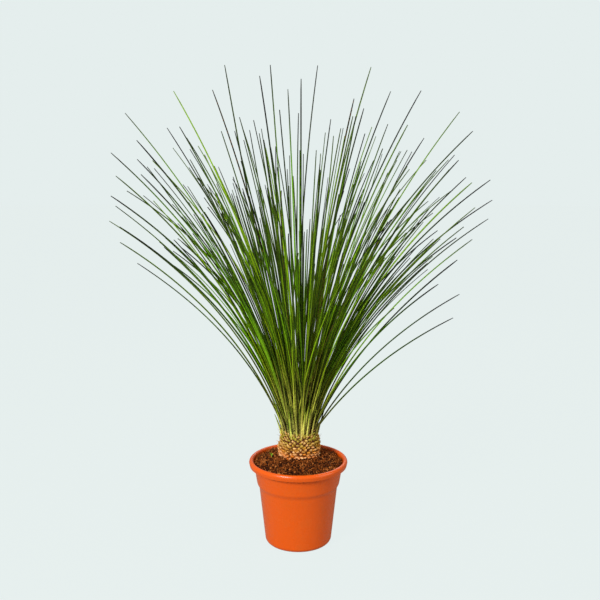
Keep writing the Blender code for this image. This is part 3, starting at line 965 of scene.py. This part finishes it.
@dataclass
class Trunk:
    """The short swollen trunk, clad in the butts of cut leaves."""

    place: Vector
    outline: tuple[Point, ...] = (
        (0.0, 0.115),
        (0.0220, 0.1150),
        (0.0240, 0.1380),
        (0.0285, 0.1490),
        (0.0325, 0.1580),
        (0.0338, 0.1680),
        (0.0318, 0.1790),
        (0.0298, 0.1950),
        (0.0270, 0.2040),
        (0.0, 0.2080),
    )
    segments: int = 72
    around: int = 25
    rows: int = 16
    first_row: float = 0.1450
    row_step: float = 0.0036
    row_turn: float = math.radians(1.3)
    seed: int = 5

    def core(self, material: bpy.types.Material) -> bpy.types.Mesh:
        """Builds the trunk under its butts.

        Args:
            material: Its finish.

        Returns:
            The mesh, on the trunk's own axis.
        """
        outline = [self.outline[0], *round_corners(list(self.outline[1:-1]), 0.004, 4), self.outline[-1]]
        return finished_mesh("trunk_core", turn_outline(outline, self.segments), material)

    def butt_tree(self, name: str, butts: bpy.types.Material) -> bpy.types.NodeTree:
        """Builds the tree that sets rows of cut leaf butts on the trunk, each between two of the row below.

        Args:
            name: The tree's name.
            butts: The finish of the butts.

        Returns:
            The tree.
        """
        sizes = {
            "Around": 1,
            "Rows": 1,
            "First Row": 0.0,
            "Row Step": 0.001,
            "Row Turn": 0.0,
            "Foot Radius": 0.001,
            "End Radius": 0.001,
            "Height": 0.001,
            "Lift": 0.0,
            "Wander": 0.0,
            "Roughening": 0.0,
            "Seed": 0,
        }
        tree, given = new_tree(name, sizes)
        want = given.outputs
        index = add_node(tree, "GeometryNodeInputIndex")
        row = add_node(
            tree,
            "ShaderNodeMath",
            [add_node(tree, "ShaderNodeMath", [index, want["Around"]], operation="DIVIDE")],
            operation="FLOOR",
        )
        in_row = add_node(tree, "ShaderNodeMath", [index, want["Around"]], operation="MODULO")
        odd = add_node(tree, "ShaderNodeMath", [row, 2.0], operation="MODULO")
        half_steps = add_node(tree, "ShaderNodeMath", [in_row, 2.0, odd], operation="MULTIPLY_ADD")
        half_step = add_node(tree, "ShaderNodeMath", [math.pi, want["Around"]], operation="DIVIDE")
        row_angle = add_node(tree, "ShaderNodeMath", [row, want["Row Turn"]], operation="MULTIPLY")
        angle = add_node(tree, "ShaderNodeMath", [half_steps, half_step, row_angle], operation="MULTIPLY_ADD")
        height = add_node(
            tree, "ShaderNodeMath", [row, want["Row Step"], want["First Row"]], operation="MULTIPLY_ADD"
        )
        stray = add_node(
            tree,
            "FunctionNodeRandomValue",
            {"Min": (-1, -1, -1), "Max": (1, 1, 1), "Seed": want["Seed"]},
            data_type="FLOAT_VECTOR",
        )
        strayed = add_node(tree, "ShaderNodeVectorMath", [stray, want["Wander"]], operation="SCALE")
        outward = add_node(
            tree, "ShaderNodeVectorRotate", {"Vector": (1, 0, 0), "Angle": angle}, rotation_type="Z_AXIS"
        )
        inward = add_node(tree, "ShaderNodeVectorMath", [outward, -1.0], operation="SCALE")
        clear = add_node(tree, "ShaderNodeVectorMath", [outward, 0.1], operation="SCALE")
        level = add_node(tree, "ShaderNodeCombineXYZ", {"Z": height})
        start = add_node(tree, "ShaderNodeVectorMath", [clear, level], operation="ADD")
        start = add_node(tree, "ShaderNodeVectorMath", [start, strayed], operation="ADD")
        hit = add_node(
            tree,
            "GeometryNodeRaycast",
            {
                "Target Geometry": want["Geometry"],
                "Source Position": start,
                "Ray Direction": inward,
                "Ray Length": 0.1,
            },
        )
        count = add_node(tree, "ShaderNodeMath", [want["Around"], want["Rows"]], operation="MULTIPLY")
        spots = add_node(tree, "GeometryNodePoints", {"Count": count, "Position": output(hit, "Hit Position")})
        facing = add_node(
            tree,
            "FunctionNodeAxesToRotation",
            [output(hit, "Hit Normal"), (0, 0, 1)],
            primary_axis="Z",
            secondary_axis="Y",
        )
        butt = add_node(
            tree,
            "GeometryNodeMeshCone",
            {
                "Vertices": 8,
                "Side Segments": 3,
                "Radius Top": want["End Radius"],
                "Radius Bottom": want["Foot Radius"],
                "Depth": want["Height"],
            },
        )
        position = add_node(tree, "ShaderNodeSeparateXYZ", [add_node(tree, "GeometryNodeInputPosition")])
        cut = add_node(tree, "ShaderNodeMath", [output(position, "Z"), want["Height"]], operation="DIVIDE")
        marked = add_node(
            tree, "GeometryNodeStoreNamedAttribute", {"Geometry": butt, "Name": "cut", "Value": cut}
        )
        squared = add_node(tree, "ShaderNodeMath", [cut, cut], operation="MULTIPLY")
        lift = add_node(tree, "ShaderNodeMath", [squared, want["Lift"]], operation="MULTIPLY")
        lifted = add_node(
            tree,
            "GeometryNodeSetPosition",
            {"Geometry": marked, "Offset": add_node(tree, "ShaderNodeCombineXYZ", {"Y": lift, "Z": -0.0006})},
        )
        size = add_node(
            tree,
            "FunctionNodeRandomValue",
            {"Min": (0.8, 0.55, 0.6), "Max": (1.25, 0.95, 1.4), "Seed": 9},
            data_type="FLOAT_VECTOR",
        )
        top = add_node(tree, "ShaderNodeMath", [want["Rows"], want["Row Step"], want["First Row"]], operation="MULTIPLY_ADD")
        smaller = add_node(
            tree,
            "ShaderNodeMapRange",
            {
                "Value": output(position, "Z"),
                "From Min": want["First Row"],
                "From Max": top,
                "To Min": 1.1,
                "To Max": 0.72,
            },
        )
        size = add_node(tree, "ShaderNodeVectorMath", [size, smaller], operation="SCALE")
        seated = add_node(
            tree,
            "GeometryNodeInstanceOnPoints",
            {"Points": spots, "Instance": lifted, "Rotation": facing, "Scale": size},
        )
        tone = add_node(tree, "FunctionNodeRandomValue", {"Seed": 12}, data_type="FLOAT")
        toned = add_node(
            tree,
            "GeometryNodeStoreNamedAttribute",
            {"Geometry": seated, "Name": "tone", "Value": tone},
            domain="INSTANCE",
        )
        real = add_node(tree, "GeometryNodeRealizeInstances", {"Geometry": toned})
        rough = add_node(tree, "ShaderNodeTexNoise", {"Scale": 330.0, "Detail": 1.0})
        centred = add_node(
            tree, "ShaderNodeVectorMath", [output(rough, "Color"), (0.5, 0.5, 0.5)], operation="SUBTRACT"
        )
        shift = add_node(
            tree, "ShaderNodeVectorMath", [centred, want["Roughening"]], operation="SCALE"
        )
        broken = add_node(tree, "GeometryNodeSetPosition", {"Geometry": real, "Offset": shift})
        youth = add_node(
            tree,
            "ShaderNodeMapRange",
            {"Value": output(position, "Z"), "From Min": 0.157, "From Max": 0.19, "To Max": 1.0},
        )
        aged = add_node(
            tree, "GeometryNodeStoreNamedAttribute", {"Geometry": broken, "Name": "youth", "Value": youth}
        )
        end_tree(tree, aged, butts)
        return tree

    def build(self) -> list[bpy.types.Object]:
        """Builds and dresses the trunk and its butts."""
        finish = CutLeafBase().make()
        core = make_piece("trunk_core", self.core(finish))
        butts = grow(
            "trunk_butts",
            core.data,
            self.butt_tree("trunk_butts", finish),
            {
                "Around": self.around,
                "Rows": self.rows,
                "First Row": self.first_row,
                "Row Step": self.row_step,
                "Row Turn": self.row_turn,
                "Foot Radius": 0.0041,
                "End Radius": 0.0017,
                "Height": 0.0044,
                "Lift": 0.0026,
                "Wander": 0.0014,
                "Roughening": 0.0034,
                "Seed": self.seed,
            },
        )
        for piece in (core, butts):
            piece.data.transform(Matrix.Translation(self.place))
        return [hand_over(piece, Slot.TRUNK, "trunk") for piece in (core, butts)]


@dataclass(frozen=True)
class Strand:
    """One leaf: where it starts, how it leans and bends, and how it is turned about its own line."""

    root: Vector
    foot_tilt: float
    bow: float
    azimuth: float
    length: float
    breadth: float
    roll: float
    twist: float
    sway: float
    tone: float


@dataclass(frozen=True)
class StrandShape:
    """The sizes that a set of leaves shares: a stiff rod that is wider and flat at its foot."""

    width: float
    inner_keel: float
    outer_keel: float
    rings: int
    taper_power: float = 0.11
    flare: float = 0.0
    flare_share: float = 0.35
    flare_power: float = 1.5
    foot_share: float = 0.025
    arch_power: float = 1.15
    steps: int = 40
    tip_width: float = 0.0014


def strand_tree(name: str, material: bpy.types.Material) -> bpy.types.NodeTree:
    """Builds the tree that grows a keeled leaf from each vertex, by the vertex's own attributes.

    A leaf's line is added up from equal steps, each a little further over than the one before.

    Args:
        name: The tree's name.
        material: The leaves' finish.

    Returns:
        The tree.
    """
    sizes = {
        "Steps": 1,
        "Rings": 2,
        "Arch Power": 1.0,
        "Width": 0.001,
        "Flare": 0.0,
        "Flare Share": 0.1,
        "Flare Power": 1.0,
        "Foot Share": 0.1,
        "Taper Power": 1.0,
        "Tip Width": 0.0001,
        "Inner Keel": 0.1,
        "Outer Keel": 0.1,
    }
    tree, given = new_tree(name, sizes)
    want = given.outputs
    own = {
        label: add_node(tree, "GeometryNodeInputNamedAttribute", {"Name": label}, data_type="FLOAT")
        for label in ("foot_tilt", "bow", "azimuth", "step", "breadth", "roll", "twist", "sway")
    }
    root = add_node(tree, "GeometryNodeInputNamedAttribute", {"Name": "root"}, data_type="FLOAT_VECTOR")
    rooted = add_node(
        tree,
        "GeometryNodeStoreNamedAttribute",
        {
            "Geometry": want["Geometry"],
            "Name": "root",
            "Value": add_node(tree, "GeometryNodeInputPosition"),
        },
        data_type="FLOAT_VECTOR",
    )
    stick = add_node(tree, "GeometryNodeCurvePrimitiveLine", {"End": (0, 0, 1)})
    count = add_node(tree, "ShaderNodeMath", [want["Steps"], 1.0], operation="ADD")
    jointed = add_node(tree, "GeometryNodeResampleCurve", {"Curve": stick, "Count": count})
    standing = add_node(tree, "GeometryNodeInstanceOnPoints", {"Points": rooted, "Instance": jointed})
    lines = add_node(tree, "GeometryNodeRealizeInstances", {"Geometry": standing})
    share = output(add_node(tree, "GeometryNodeSplineParameter"), "Factor")
    left = add_node(tree, "ShaderNodeMath", [1.0, share], operation="SUBTRACT")
    unbent = add_node(tree, "ShaderNodeMath", [left, want["Arch Power"]], operation="POWER")
    bent = add_node(tree, "ShaderNodeMath", [1.0, unbent], operation="SUBTRACT")
    tilt = add_node(tree, "ShaderNodeMath", [own["bow"], bent, own["foot_tilt"]], operation="MULTIPLY_ADD")
    squared = add_node(tree, "ShaderNodeMath", [share, share], operation="MULTIPLY")
    turn = add_node(tree, "ShaderNodeMath", [own["sway"], squared, own["azimuth"]], operation="MULTIPLY_ADD")
    heading = add_node(tree, "ShaderNodeCombineXYZ", {"Y": tilt, "Z": turn})
    ahead = add_node(
        tree, "ShaderNodeVectorRotate", {"Vector": (0, 0, 1), "Rotation": heading}, rotation_type="EULER_XYZ"
    )
    step = add_node(tree, "ShaderNodeVectorMath", [ahead, own["step"]], operation="SCALE")
    leaf = output(add_node(tree, "GeometryNodeCurveOfPoint"), "Curve Index")
    summed = add_node(
        tree, "GeometryNodeAccumulateField", {"Value": step, "Group ID": leaf}, data_type="FLOAT_VECTOR"
    )
    place = add_node(tree, "ShaderNodeVectorMath", [root, output(summed, "Trailing")], operation="ADD")
    arched = add_node(tree, "GeometryNodeSetPosition", {"Geometry": lines, "Position": place})
    ringed = add_node(tree, "GeometryNodeResampleCurve", {"Curve": arched, "Count": want["Rings"]})
    marked = add_node(
        tree, "GeometryNodeStoreNamedAttribute", {"Geometry": ringed, "Name": "along", "Value": share}
    )
    roll = add_node(tree, "ShaderNodeMath", [own["twist"], share, own["roll"]], operation="MULTIPLY_ADD")
    rolled = add_node(
        tree, "ShaderNodeVectorRotate", {"Vector": (0, 1, 0), "Angle": roll}, rotation_type="Z_AXIS"
    )
    side = add_node(
        tree, "ShaderNodeVectorRotate", {"Vector": rolled, "Rotation": heading}, rotation_type="EULER_XYZ"
    )
    turned = add_node(tree, "GeometryNodeSetCurveNormal", {"Curve": marked, "Normal": side}, mode="FREE")
    foot = add_node(tree, "ShaderNodeMapRange", {"Value": share, "From Max": want["Foot Share"], "To Min": 0.25})
    grown = add_node(tree, "ShaderNodeMath", [foot, own["breadth"]], operation="MULTIPLY")
    tapered = add_node(tree, "ShaderNodeMath", [left, want["Taper Power"]], operation="POWER")
    rod = add_node(tree, "ShaderNodeMath", [tapered, want["Width"]], operation="MULTIPLY")
    sized = add_node(tree, "ShaderNodeMath", [rod, grown], operation="MULTIPLY")
    width = add_node(tree, "ShaderNodeMath", [sized, want["Tip Width"]], operation="MAXIMUM")
    short_of_flare = add_node(
        tree,
        "ShaderNodeMapRange",
        {"Value": share, "From Max": want["Flare Share"], "To Min": 1.0, "To Max": 0.0},
    )
    flared = add_node(tree, "ShaderNodeMath", [short_of_flare, want["Flare Power"]], operation="POWER")
    half_flare = add_node(
        tree,
        "ShaderNodeMath",
        [flared, add_node(tree, "ShaderNodeMath", [want["Flare"], grown], operation="MULTIPLY")],
        operation="MULTIPLY",
    )
    spread = add_node(tree, "ShaderNodeVectorMath", [side, half_flare], operation="SCALE")
    sided = add_node(
        tree,
        "GeometryNodeStoreNamedAttribute",
        {"Geometry": turned, "Name": "spread", "Value": spread},
        data_type="FLOAT_VECTOR",
    )
    section = add_node(
        tree,
        "GeometryNodeCurvePrimitiveQuadrilateral",
        {"Width": 1.0, "Bottom Height": want["Inner Keel"], "Top Height": want["Outer Keel"]},
        mode="KITE",
    )
    corner = add_node(tree, "ShaderNodeSeparateXYZ", [add_node(tree, "GeometryNodeInputPosition")])
    across = add_node(tree, "ShaderNodeMath", [output(corner, "X"), 2.0], operation="MULTIPLY")
    profile = add_node(
        tree, "GeometryNodeStoreNamedAttribute", {"Geometry": section, "Name": "across", "Value": across}
    )
    rods = add_node(
        tree,
        "GeometryNodeCurveToMesh",
        {"Curve": sided, "Profile Curve": profile, "Scale": width, "Fill Caps": True},
    )
    edge = add_node(tree, "GeometryNodeInputNamedAttribute", {"Name": "across"}, data_type="FLOAT")
    way = add_node(tree, "GeometryNodeInputNamedAttribute", {"Name": "spread"}, data_type="FLOAT_VECTOR")
    shift = add_node(
        tree,
        "ShaderNodeVectorMath",
        [way, add_node(tree, "ShaderNodeMath", [edge, 0.5], operation="MULTIPLY")],
        operation="SCALE",
    )
    leaves = add_node(tree, "GeometryNodeSetPosition", {"Geometry": rods, "Offset": shift})
    end_tree(tree, leaves, material)
    return tree


def grow_strands(
    name: str, strands: list[Strand], shape: StrandShape, material: bpy.types.Material
) -> bpy.types.Object:
    """Grows leaves, one from each strand.

    Args:
        name: The piece's name.
        strands: The leaves.
        shape: The sizes that they share.
        material: Their finish.

    Returns:
        The piece.
    """
    bed = bpy.data.meshes.new(name)
    bed.from_pydata([strand.root for strand in strands], [], [])
    for label in ("foot_tilt", "bow", "azimuth", "breadth", "roll", "twist", "sway", "tone"):
        values = [getattr(strand, label) for strand in strands]
        bed.attributes.new(label, "FLOAT", "POINT").data.foreach_set("value", values)
    steps = [strand.length / shape.steps for strand in strands]
    bed.attributes.new("step", "FLOAT", "POINT").data.foreach_set("value", steps)
    sizes = {
        "Steps": shape.steps,
        "Rings": shape.rings,
        "Arch Power": shape.arch_power,
        "Width": shape.width,
        "Flare": shape.flare,
        "Flare Share": shape.flare_share,
        "Flare Power": shape.flare_power,
        "Foot Share": shape.foot_share,
        "Taper Power": shape.taper_power,
        "Tip Width": shape.tip_width,
        "Inner Keel": shape.inner_keel,
        "Outer Keel": shape.outer_keel,
    }
    return grow(name, bed, strand_tree(name, material), sizes)


# Leaves that stand clear of the crown, from left to right across the front: the lean from root to tip in
# degrees from upright (to the right is positive), the leaf's length in metres, how far its plane is
# turned away from the front in degrees, and how much it arches against what its lean gives.
OUTER_LEAVES = (
    (-27.0, 0.591, 0, 1.0),
    (-31.5, 0.547, -15, 1.0),
    (-28.5, 0.547, -30, 1.0),
    (-33.5, 0.517, 0, 1.0),
    (-35.5, 0.497, -15, 1.1),
    (-39.5, 0.468, 0, 0.95),
    (-38.5, 0.463, -30, 0.9),
    (-40.5, 0.428, 0, 0.9),
    (-39.5, 0.384, -15, 0.78),
    (-31.0, 0.532, 15, 1.0),
    (-30.5, 0.502, -30, 1.0),
    (-22.0, 0.537, 0, 1.0),
    (-21.5, 0.532, -30, 1.0),
    (-19.0, 0.586, 0, 1.1),
    (-14.0, 0.571, 15, 1.0),
    (-10.5, 0.596, 0, -0.2),
    (-11.0, 0.512, -30, 1.2),
    (-6.0, 0.571, 15, 1.0),
    (-4.5, 0.581, -30, 0.2),
    (-1.5, 0.542, 0, 2.0),
    (-7.0, 0.468, -30, 1.0),
    (0.0, 0.557, 0, 1.0),
    (2.5, 0.581, 0, 4.0),
    (10.5, 0.591, -15, 1.3),
    (9.5, 0.537, -30, 1.0),
    (6.0, 0.502, 30, 1.0),
    (8.0, 0.488, -30, 1.0),
    (14.0, 0.566, 0, 1.2),
    (12.5, 0.537, 30, 1.0),
    (18.5, 0.581, -15, 1.2),
    (19.5, 0.527, -30, 1.1),
    (25.0, 0.581, 0, 1.0),
    (21.5, 0.517, 0, 1.0),
    (28.0, 0.566, -15, 1.3),
    (27.0, 0.488, -30, 1.0),
    (30.5, 0.527, 15, 1.0),
    (32.0, 0.507, -30, 1.0),
    (32.5, 0.497, 0, 1.0),
    (35.0, 0.522, 0, 1.1),
    (36.5, 0.497, -15, 1.1),
    (39.0, 0.468, 0, 0.9),
    (38.0, 0.424, -15, 0.75),
    (39.5, 0.379, 0, 0.65),
    (39.5, 0.350, -30, 0.7),
    (46.0, 0.340, 0, 1.0),
    (48.0, 0.310, -15, 1.0),
)


@dataclass(frozen=True)
class Clasping:
    """A set of short strands round the top of the trunk: their number, places, sizes and finish."""

    name: str
    count: int
    radii: Point
    heights: Point
    foot_tilts: Point
    bows: Point
    lengths: Point
    shape: StrandShape
    finish: LeafCuticle


LEAF_FEET = Clasping(
    name="leaf_feet",
    count=84,
    radii=(0.0305, 0.0225),
    heights=(0.1835, 0.2080),
    foot_tilts=(5.0, 17.0),
    bows=(2.0, 12.0),
    lengths=(0.040, 0.075),
    shape=StrandShape(
        width=0.0060,
        inner_keel=0.2,
        outer_keel=0.35,
        rings=16,
        taper_power=0.45,
        foot_share=0.16,
        arch_power=1.0,
        steps=20,
    ),
    finish=LeafCuticle(
        foot_colour="#BAAE60",
        stages=((0.0, 0.25, "#9C9C46"), (0.35, 0.8, "#66761C")),
        mottling=(24.0, 1.3, 40.0),
    ),
)

CHAFF = Clasping(
    name="trunk_chaff",
    count=170,
    radii=(0.0345, 0.0290),
    heights=(0.1640, 0.2040),
    foot_tilts=(15.0, 60.0),
    bows=(-30.0, 30.0),
    lengths=(0.004, 0.011),
    shape=StrandShape(
        width=0.0017,
        inner_keel=0.1,
        outer_keel=0.2,
        rings=6,
        taper_power=0.6,
        foot_share=0.1,
        arch_power=1.0,
        steps=8,
        tip_width=0.0003,
    ),
    finish=LeafCuticle(
        foot_colour="#7A3E14",
        stages=((0.2, 0.9, "#8E4A1E"),),
        mottling=(6.0, 1.3, 40.0),
    ),
)


@dataclass
class LeafHead:
    """The round head of leaves: the outer ones of the CAD, its full crown, and the younger ones between."""

    place: Vector
    root_radii: Point = (0.003, 0.0295)
    root_heights: Point = (0.230, 0.1995)
    root_spread_lean: float = 42.0
    root_spread_power: float = 0.8
    tip_lean_per_lean: float = 1.5
    widest_tip_lean: float = 60.0
    crown_leaves: int = 168
    filling_leaves: int = 140
    filling_leans: Point = (10.0, 34.0)
    filling_reach: Point = (0.48, 0.8)
    golden_angle: float = math.radians(137.508)
    widest_crown_lean: float = 39.5
    sideways_lean_loss: float = 0.08
    longest_leaf: float = 0.605
    shortening: float = 0.45
    shortest_at_lean: float = 46.0
    shortening_power: int = 4
    reach_range: Point = (0.65, 0.93)
    front_and_back_reach: float = 0.1
    sideways_gather: float = 0.16
    young_length_share: float = 0.79
    grown_at_lean: float = 35.0
    least_lean: float = 0.5
    lean_jitter: float = 2.5
    arch_range: Point = (0.35, 1.5)
    lean_per_least_arch: float = 40.0
    turn_jitter: float = math.radians(14)
    free_root_turn: float = math.radians(38)
    free_sway: float = math.radians(16)
    held_share: float = 0.2
    held_breadth: Point = (0.85, 1.1)
    free_breadth: Point = (0.6, 0.9)
    seed: int = 7
    shape: StrandShape = StrandShape(width=0.0032, flare=0.0012, inner_keel=0.3, outer_keel=0.6, rings=34)
    clasps: tuple[Clasping, ...] = (LEAF_FEET, CHAFF)

    def root(self, lean: float, azimuth: float) -> Vector:
        """Finds where a leaf starts: the more it leans, the further out and lower.

        Args:
            lean: Its lean in degrees.
            azimuth: The direction that it leans in, in radians.

        Returns:
            The place, in the frame.
        """
        share = min(1.0, lean / self.root_spread_lean)
        radius = self.root_radii[0] + (self.root_radii[1] - self.root_radii[0]) * share**self.root_spread_power
        height = self.root_heights[0] + (self.root_heights[1] - self.root_heights[0]) * share
        return self.place + Vector((radius * math.cos(azimuth), radius * math.sin(azimuth), height))

    def longest_at(self, lean: float) -> float:
        """Reads the longest leaf at a lean: young upright leaves and old drooping ones are shorter."""
        grown = self.young_length_share + (1 - self.young_length_share) * min(1.0, lean / self.grown_at_lean)
        loss = self.shortening * (lean / self.shortest_at_lean) ** self.shortening_power
        return self.longest_leaf * grown * (1 - loss)

    def gathered(self, azimuth: float) -> float:
        """Turns a direction a little to the nearer side, because the head is fullest left and right."""
        return azimuth - self.sideways_gather * math.sin(2 * azimuth)

    def crown(self, count: int, draw: random.Random) -> list[tuple[float, float, float, float]]:
        """Places leaves by the turn that new leaves keep to the one before, from the oldest on.

        Args:
            count: How many leaves there are.
            draw: The source of their small differences.

        Returns:
            The lean, length, azimuth and arch of each.
        """
        least = math.cos(math.radians(self.widest_crown_lean))
        leaves = []
        for index in range(count):
            age = 1 - (index + 0.5) / count
            jitter = draw.uniform(-self.lean_jitter, self.lean_jitter)
            lean = math.degrees(math.acos(1 - age * (1 - least))) + jitter
            azimuth = self.gathered(index * self.golden_angle)
            azimuth += draw.uniform(-self.turn_jitter, self.turn_jitter)
            lean *= 1 - self.sideways_lean_loss * abs(math.cos(azimuth))
            reach = draw.uniform(*self.reach_range) + self.front_and_back_reach * abs(math.sin(azimuth))
            length = self.longest_at(lean) * reach
            arch = max(draw.uniform(*self.arch_range), lean / self.lean_per_least_arch)
            leaves.append((max(self.least_lean, lean), length, azimuth, arch))
        return leaves

    def filling(self, draw: random.Random) -> list[tuple[float, float, float, float]]:
        """Places the younger leaves that stand among the crown's, all shorter than those."""
        leaves = []
        for index in range(self.filling_leaves):
            azimuth = self.gathered((index + 0.5) * self.golden_angle)
            lean = draw.uniform(*self.filling_leans)
            length = self.longest_at(lean) * draw.uniform(*self.filling_reach)
            leaves.append((lean, length, azimuth, lean / self.lean_per_least_arch))
        return leaves

    def strand(
        self, lean: float, length: float, azimuth: float, arch: float, draw: random.Random, freedom: float
    ) -> Strand:
        """Works out one leaf, whose lean from root to tip is the same however much it arches.

        Args:
            lean: Its lean in degrees.
            length: Its length.
            azimuth: The direction that it leans in, in radians.
            arch: How much it arches, against what its lean gives.
            draw: The source of its small differences.
            freedom: How far it may start beside its own direction and curve sideways, from 0 to 1.

        Returns:
            The strand.
        """
        mean = self.shape.arch_power / (self.shape.arch_power + 1)
        bow = arch * (min(self.tip_lean_per_lean * lean, self.widest_tip_lean) - lean) / (1 - mean)
        beside = freedom * draw.uniform(-self.free_root_turn, self.free_root_turn)
        sway = freedom * draw.uniform(-self.free_sway, self.free_sway)
        return Strand(
            root=self.root(lean, azimuth + beside),
            foot_tilt=math.radians(lean - bow * mean),
            bow=math.radians(bow),
            azimuth=azimuth - sway / 3,
            length=length,
            breadth=draw.uniform(*(self.free_breadth if freedom == 1.0 else self.held_breadth)),
            roll=math.radians(draw.uniform(-12, 12)),
            twist=math.radians(draw.uniform(-50, 50)),
            sway=sway,
            tone=draw.random(),
        )

    def strands(self) -> dict[str, list[Strand]]:
        """Works out every leaf, by the piece that it is part of."""
        outer = []
        for lean, length, turn, arch in OUTER_LEAVES:
            outer.append((abs(lean), length, math.radians(turn if lean >= 0 else 180 - turn), arch))
        crown = self.crown(self.crown_leaves, random.Random(self.seed))
        filling = self.filling(random.Random(self.seed + 1))
        draw = random.Random(self.seed + 2)
        groups = {
            "outer_leaves": (outer, self.held_share),
            "crown_leaves": (crown, 1.0),
            "young_leaves": (filling, 1.0),
        }
        return {
            name: [self.strand(*leaf, draw, freedom) for leaf in group]
            for name, (group, freedom) in groups.items()
        }

    def clasping(self, look: "Clasping", draw: random.Random) -> list[Strand]:
        """Works out short strands that stand round the top of the trunk.

        Args:
            look: Their number and sizes.
            draw: The source of their small differences.

        Returns:
            The strands.
        """
        strands = []
        for index in range(look.count):
            share = index / look.count
            azimuth = index * self.golden_angle
            radius = look.radii[0] + (look.radii[1] - look.radii[0]) * share
            height = look.heights[0] + (look.heights[1] - look.heights[0]) * share
            root = self.place + Vector((radius * math.cos(azimuth), radius * math.sin(azimuth), height))
            strands.append(
                Strand(
                    root=root,
                    foot_tilt=math.radians(draw.uniform(*look.foot_tilts)),
                    bow=math.radians(draw.uniform(*look.bows)),
                    azimuth=azimuth,
                    length=draw.uniform(*look.lengths),
                    breadth=draw.uniform(0.8, 1.15),
                    roll=0.0,
                    twist=0.0,
                    sway=0.0,
                    tone=draw.uniform(0.05, 1.0),
                )
            )
        return strands

    def build(self) -> list[bpy.types.Object]:
        """Builds and dresses the leaves, and the feet and chaff round them."""
        cuticle = LeafCuticle().make()
        pieces = [grow_strands(name, group, self.shape, cuticle) for name, group in self.strands().items()]
        for look in self.clasps:
            strands = self.clasping(look, random.Random(self.seed + 3))
            pieces.append(grow_strands(look.name, strands, look.shape, look.finish.make()))
        return [hand_over(piece, Slot.LEAF, "leaf_head") for piece in pieces]


@dataclass
class Seedling:
    """A self-sown seedling, two seed leaves and a shoot, left of the trunk."""

    soil: SoilBed
    place: Point = (-0.046, -0.008)

    def build(self) -> list[bpy.types.Object]:
        """Builds and dresses the seedling."""
        x, y = self.place
        root = Vector((x, y, self.soil.surface_height(x, y) - 0.001))
        leaves = [
            Strand(root, math.radians(8), math.radians(40), turn, length, 1.0, 0.0, 0.0, 0.0, 0.9)
            for turn, length in ((-0.5, 0.0115), (2.7, 0.0100), (-1.6, 0.0130), (1.1, 0.0080))
        ]
        shape = StrandShape(
            width=0.0018,
            inner_keel=0.1,
            outer_keel=0.15,
            rings=10,
            taper_power=0.5,
            foot_share=0.7,
            arch_power=1.0,
            steps=12,
            tip_width=0.0003,
        )
        green = LeafCuticle(foot_colour="#8FA83C", stages=((0.1, 0.5, "#5E9A22"),), mottling=(6.0, 1.3, 40.0))
        piece = grow_strands("seedling", leaves, shape, green.make())
        return [hand_over(piece, Slot.LEAF)]


@dataclass
class Studio:
    """A pale floor, soft lights and the camera."""

    paper: StudioPaper = StudioPaper()
    floor_radius: float = 12.0
    camera_place: tuple[float, float, float] = (0.003, -1.379, 0.655)
    camera_dip: float = math.radians(9.43)
    lens: float = 50.0
    sensor: float = 36.0
    ambient: float = 0.43
    ambient_colour: str = "#FFF4E2"

    def floor(self) -> bpy.types.Object:
        """Lays the floor just under the pot."""
        bm = bmesh.new()
        bmesh.ops.create_circle(bm, cap_ends=True, segments=96, radius=self.floor_radius)
        floor = make_piece("studio_floor", finished_mesh("studio_floor", bm, self.paper.make()))
        return floor

    def camera(self) -> bpy.types.Object:
        """Sets the camera where the plant is usually seen from."""
        data = bpy.data.cameras.new("view")
        data.lens = self.lens
        data.sensor_width = self.sensor
        camera = bpy.data.objects.new("view", data)
        camera.location = self.camera_place
        camera.rotation_euler = (math.pi / 2 - self.camera_dip, 0.0, 0.0)
        bpy.context.scene.collection.objects.link(camera)
        bpy.context.scene.camera = camera
        return camera

    def light(self, name: str, place: tuple[float, float, float], size: float, power: float) -> None:
        """Hangs one soft square light that faces the plant.

        Args:
            name: Its name.
            place: Where it hangs.
            size: The length of its sides.
            power: Its power in watts.
        """
        data = bpy.data.lights.new(name, "AREA")
        data.size = size
        data.energy = power
        light = bpy.data.objects.new(name, data)
        light.location = place
        aim = Vector((0.0, 0.0, 0.3)) - Vector(place)
        light.rotation_euler = aim.to_track_quat("-Z", "Y").to_euler()
        bpy.context.scene.collection.objects.link(light)

    def world(self) -> None:
        """Gives the backdrop the floor's colour, and a weaker even light from all round."""
        world = bpy.data.worlds.new("studio")
        world.use_nodes = True
        tree = world.node_tree
        seen = output(add_node(tree, "ShaderNodeLightPath"), "Is Camera Ray")
        around = add_node(tree, "ShaderNodeBackground", {"Color": self.ambient_colour, "Strength": self.ambient})
        behind = add_node(tree, "ShaderNodeBackground", {"Color": self.paper.colour, "Strength": 1.0})
        mixed = add_node(tree, "ShaderNodeMixShader", [seen, around, behind])
        tree.links.new(output(mixed), tree.nodes["World Output"].inputs["Surface"])
        bpy.context.scene.world = world

    def build(self) -> None:
        """Sets up the floor, backdrop, lights and camera."""
        bpy.context.scene.view_settings.view_transform = "Standard"
        self.floor()
        self.world()
        self.light("key_light", (-1.2, -1.72, 1.4), 0.8, 61.0)
        self.light("fill_light", (1.7, -0.8, 0.9), 1.2, 11.0)
        self.light("back_light", (0.5, 1.7, 1.6), 1.2, 10.0)
        self.camera()


def main() -> None:
    """Builds the plant from the pot up, and the studio round it."""
    logging.basicConfig(level=logging.INFO, format="%(message)s")
    trunk_place = Vector((0.002, 0.008, 0.0))
    pot = NurseryPot()
    soil = SoilBed(pot=pot, trunk_place=trunk_place, trunk_radius=0.036)
    pot.build()
    soil.build()
    Trunk(place=trunk_place).build()
    LeafHead(place=trunk_place).build()
    Seedling(soil=soil).build()
    Studio().build()


if __name__ == "__main__":
    main()
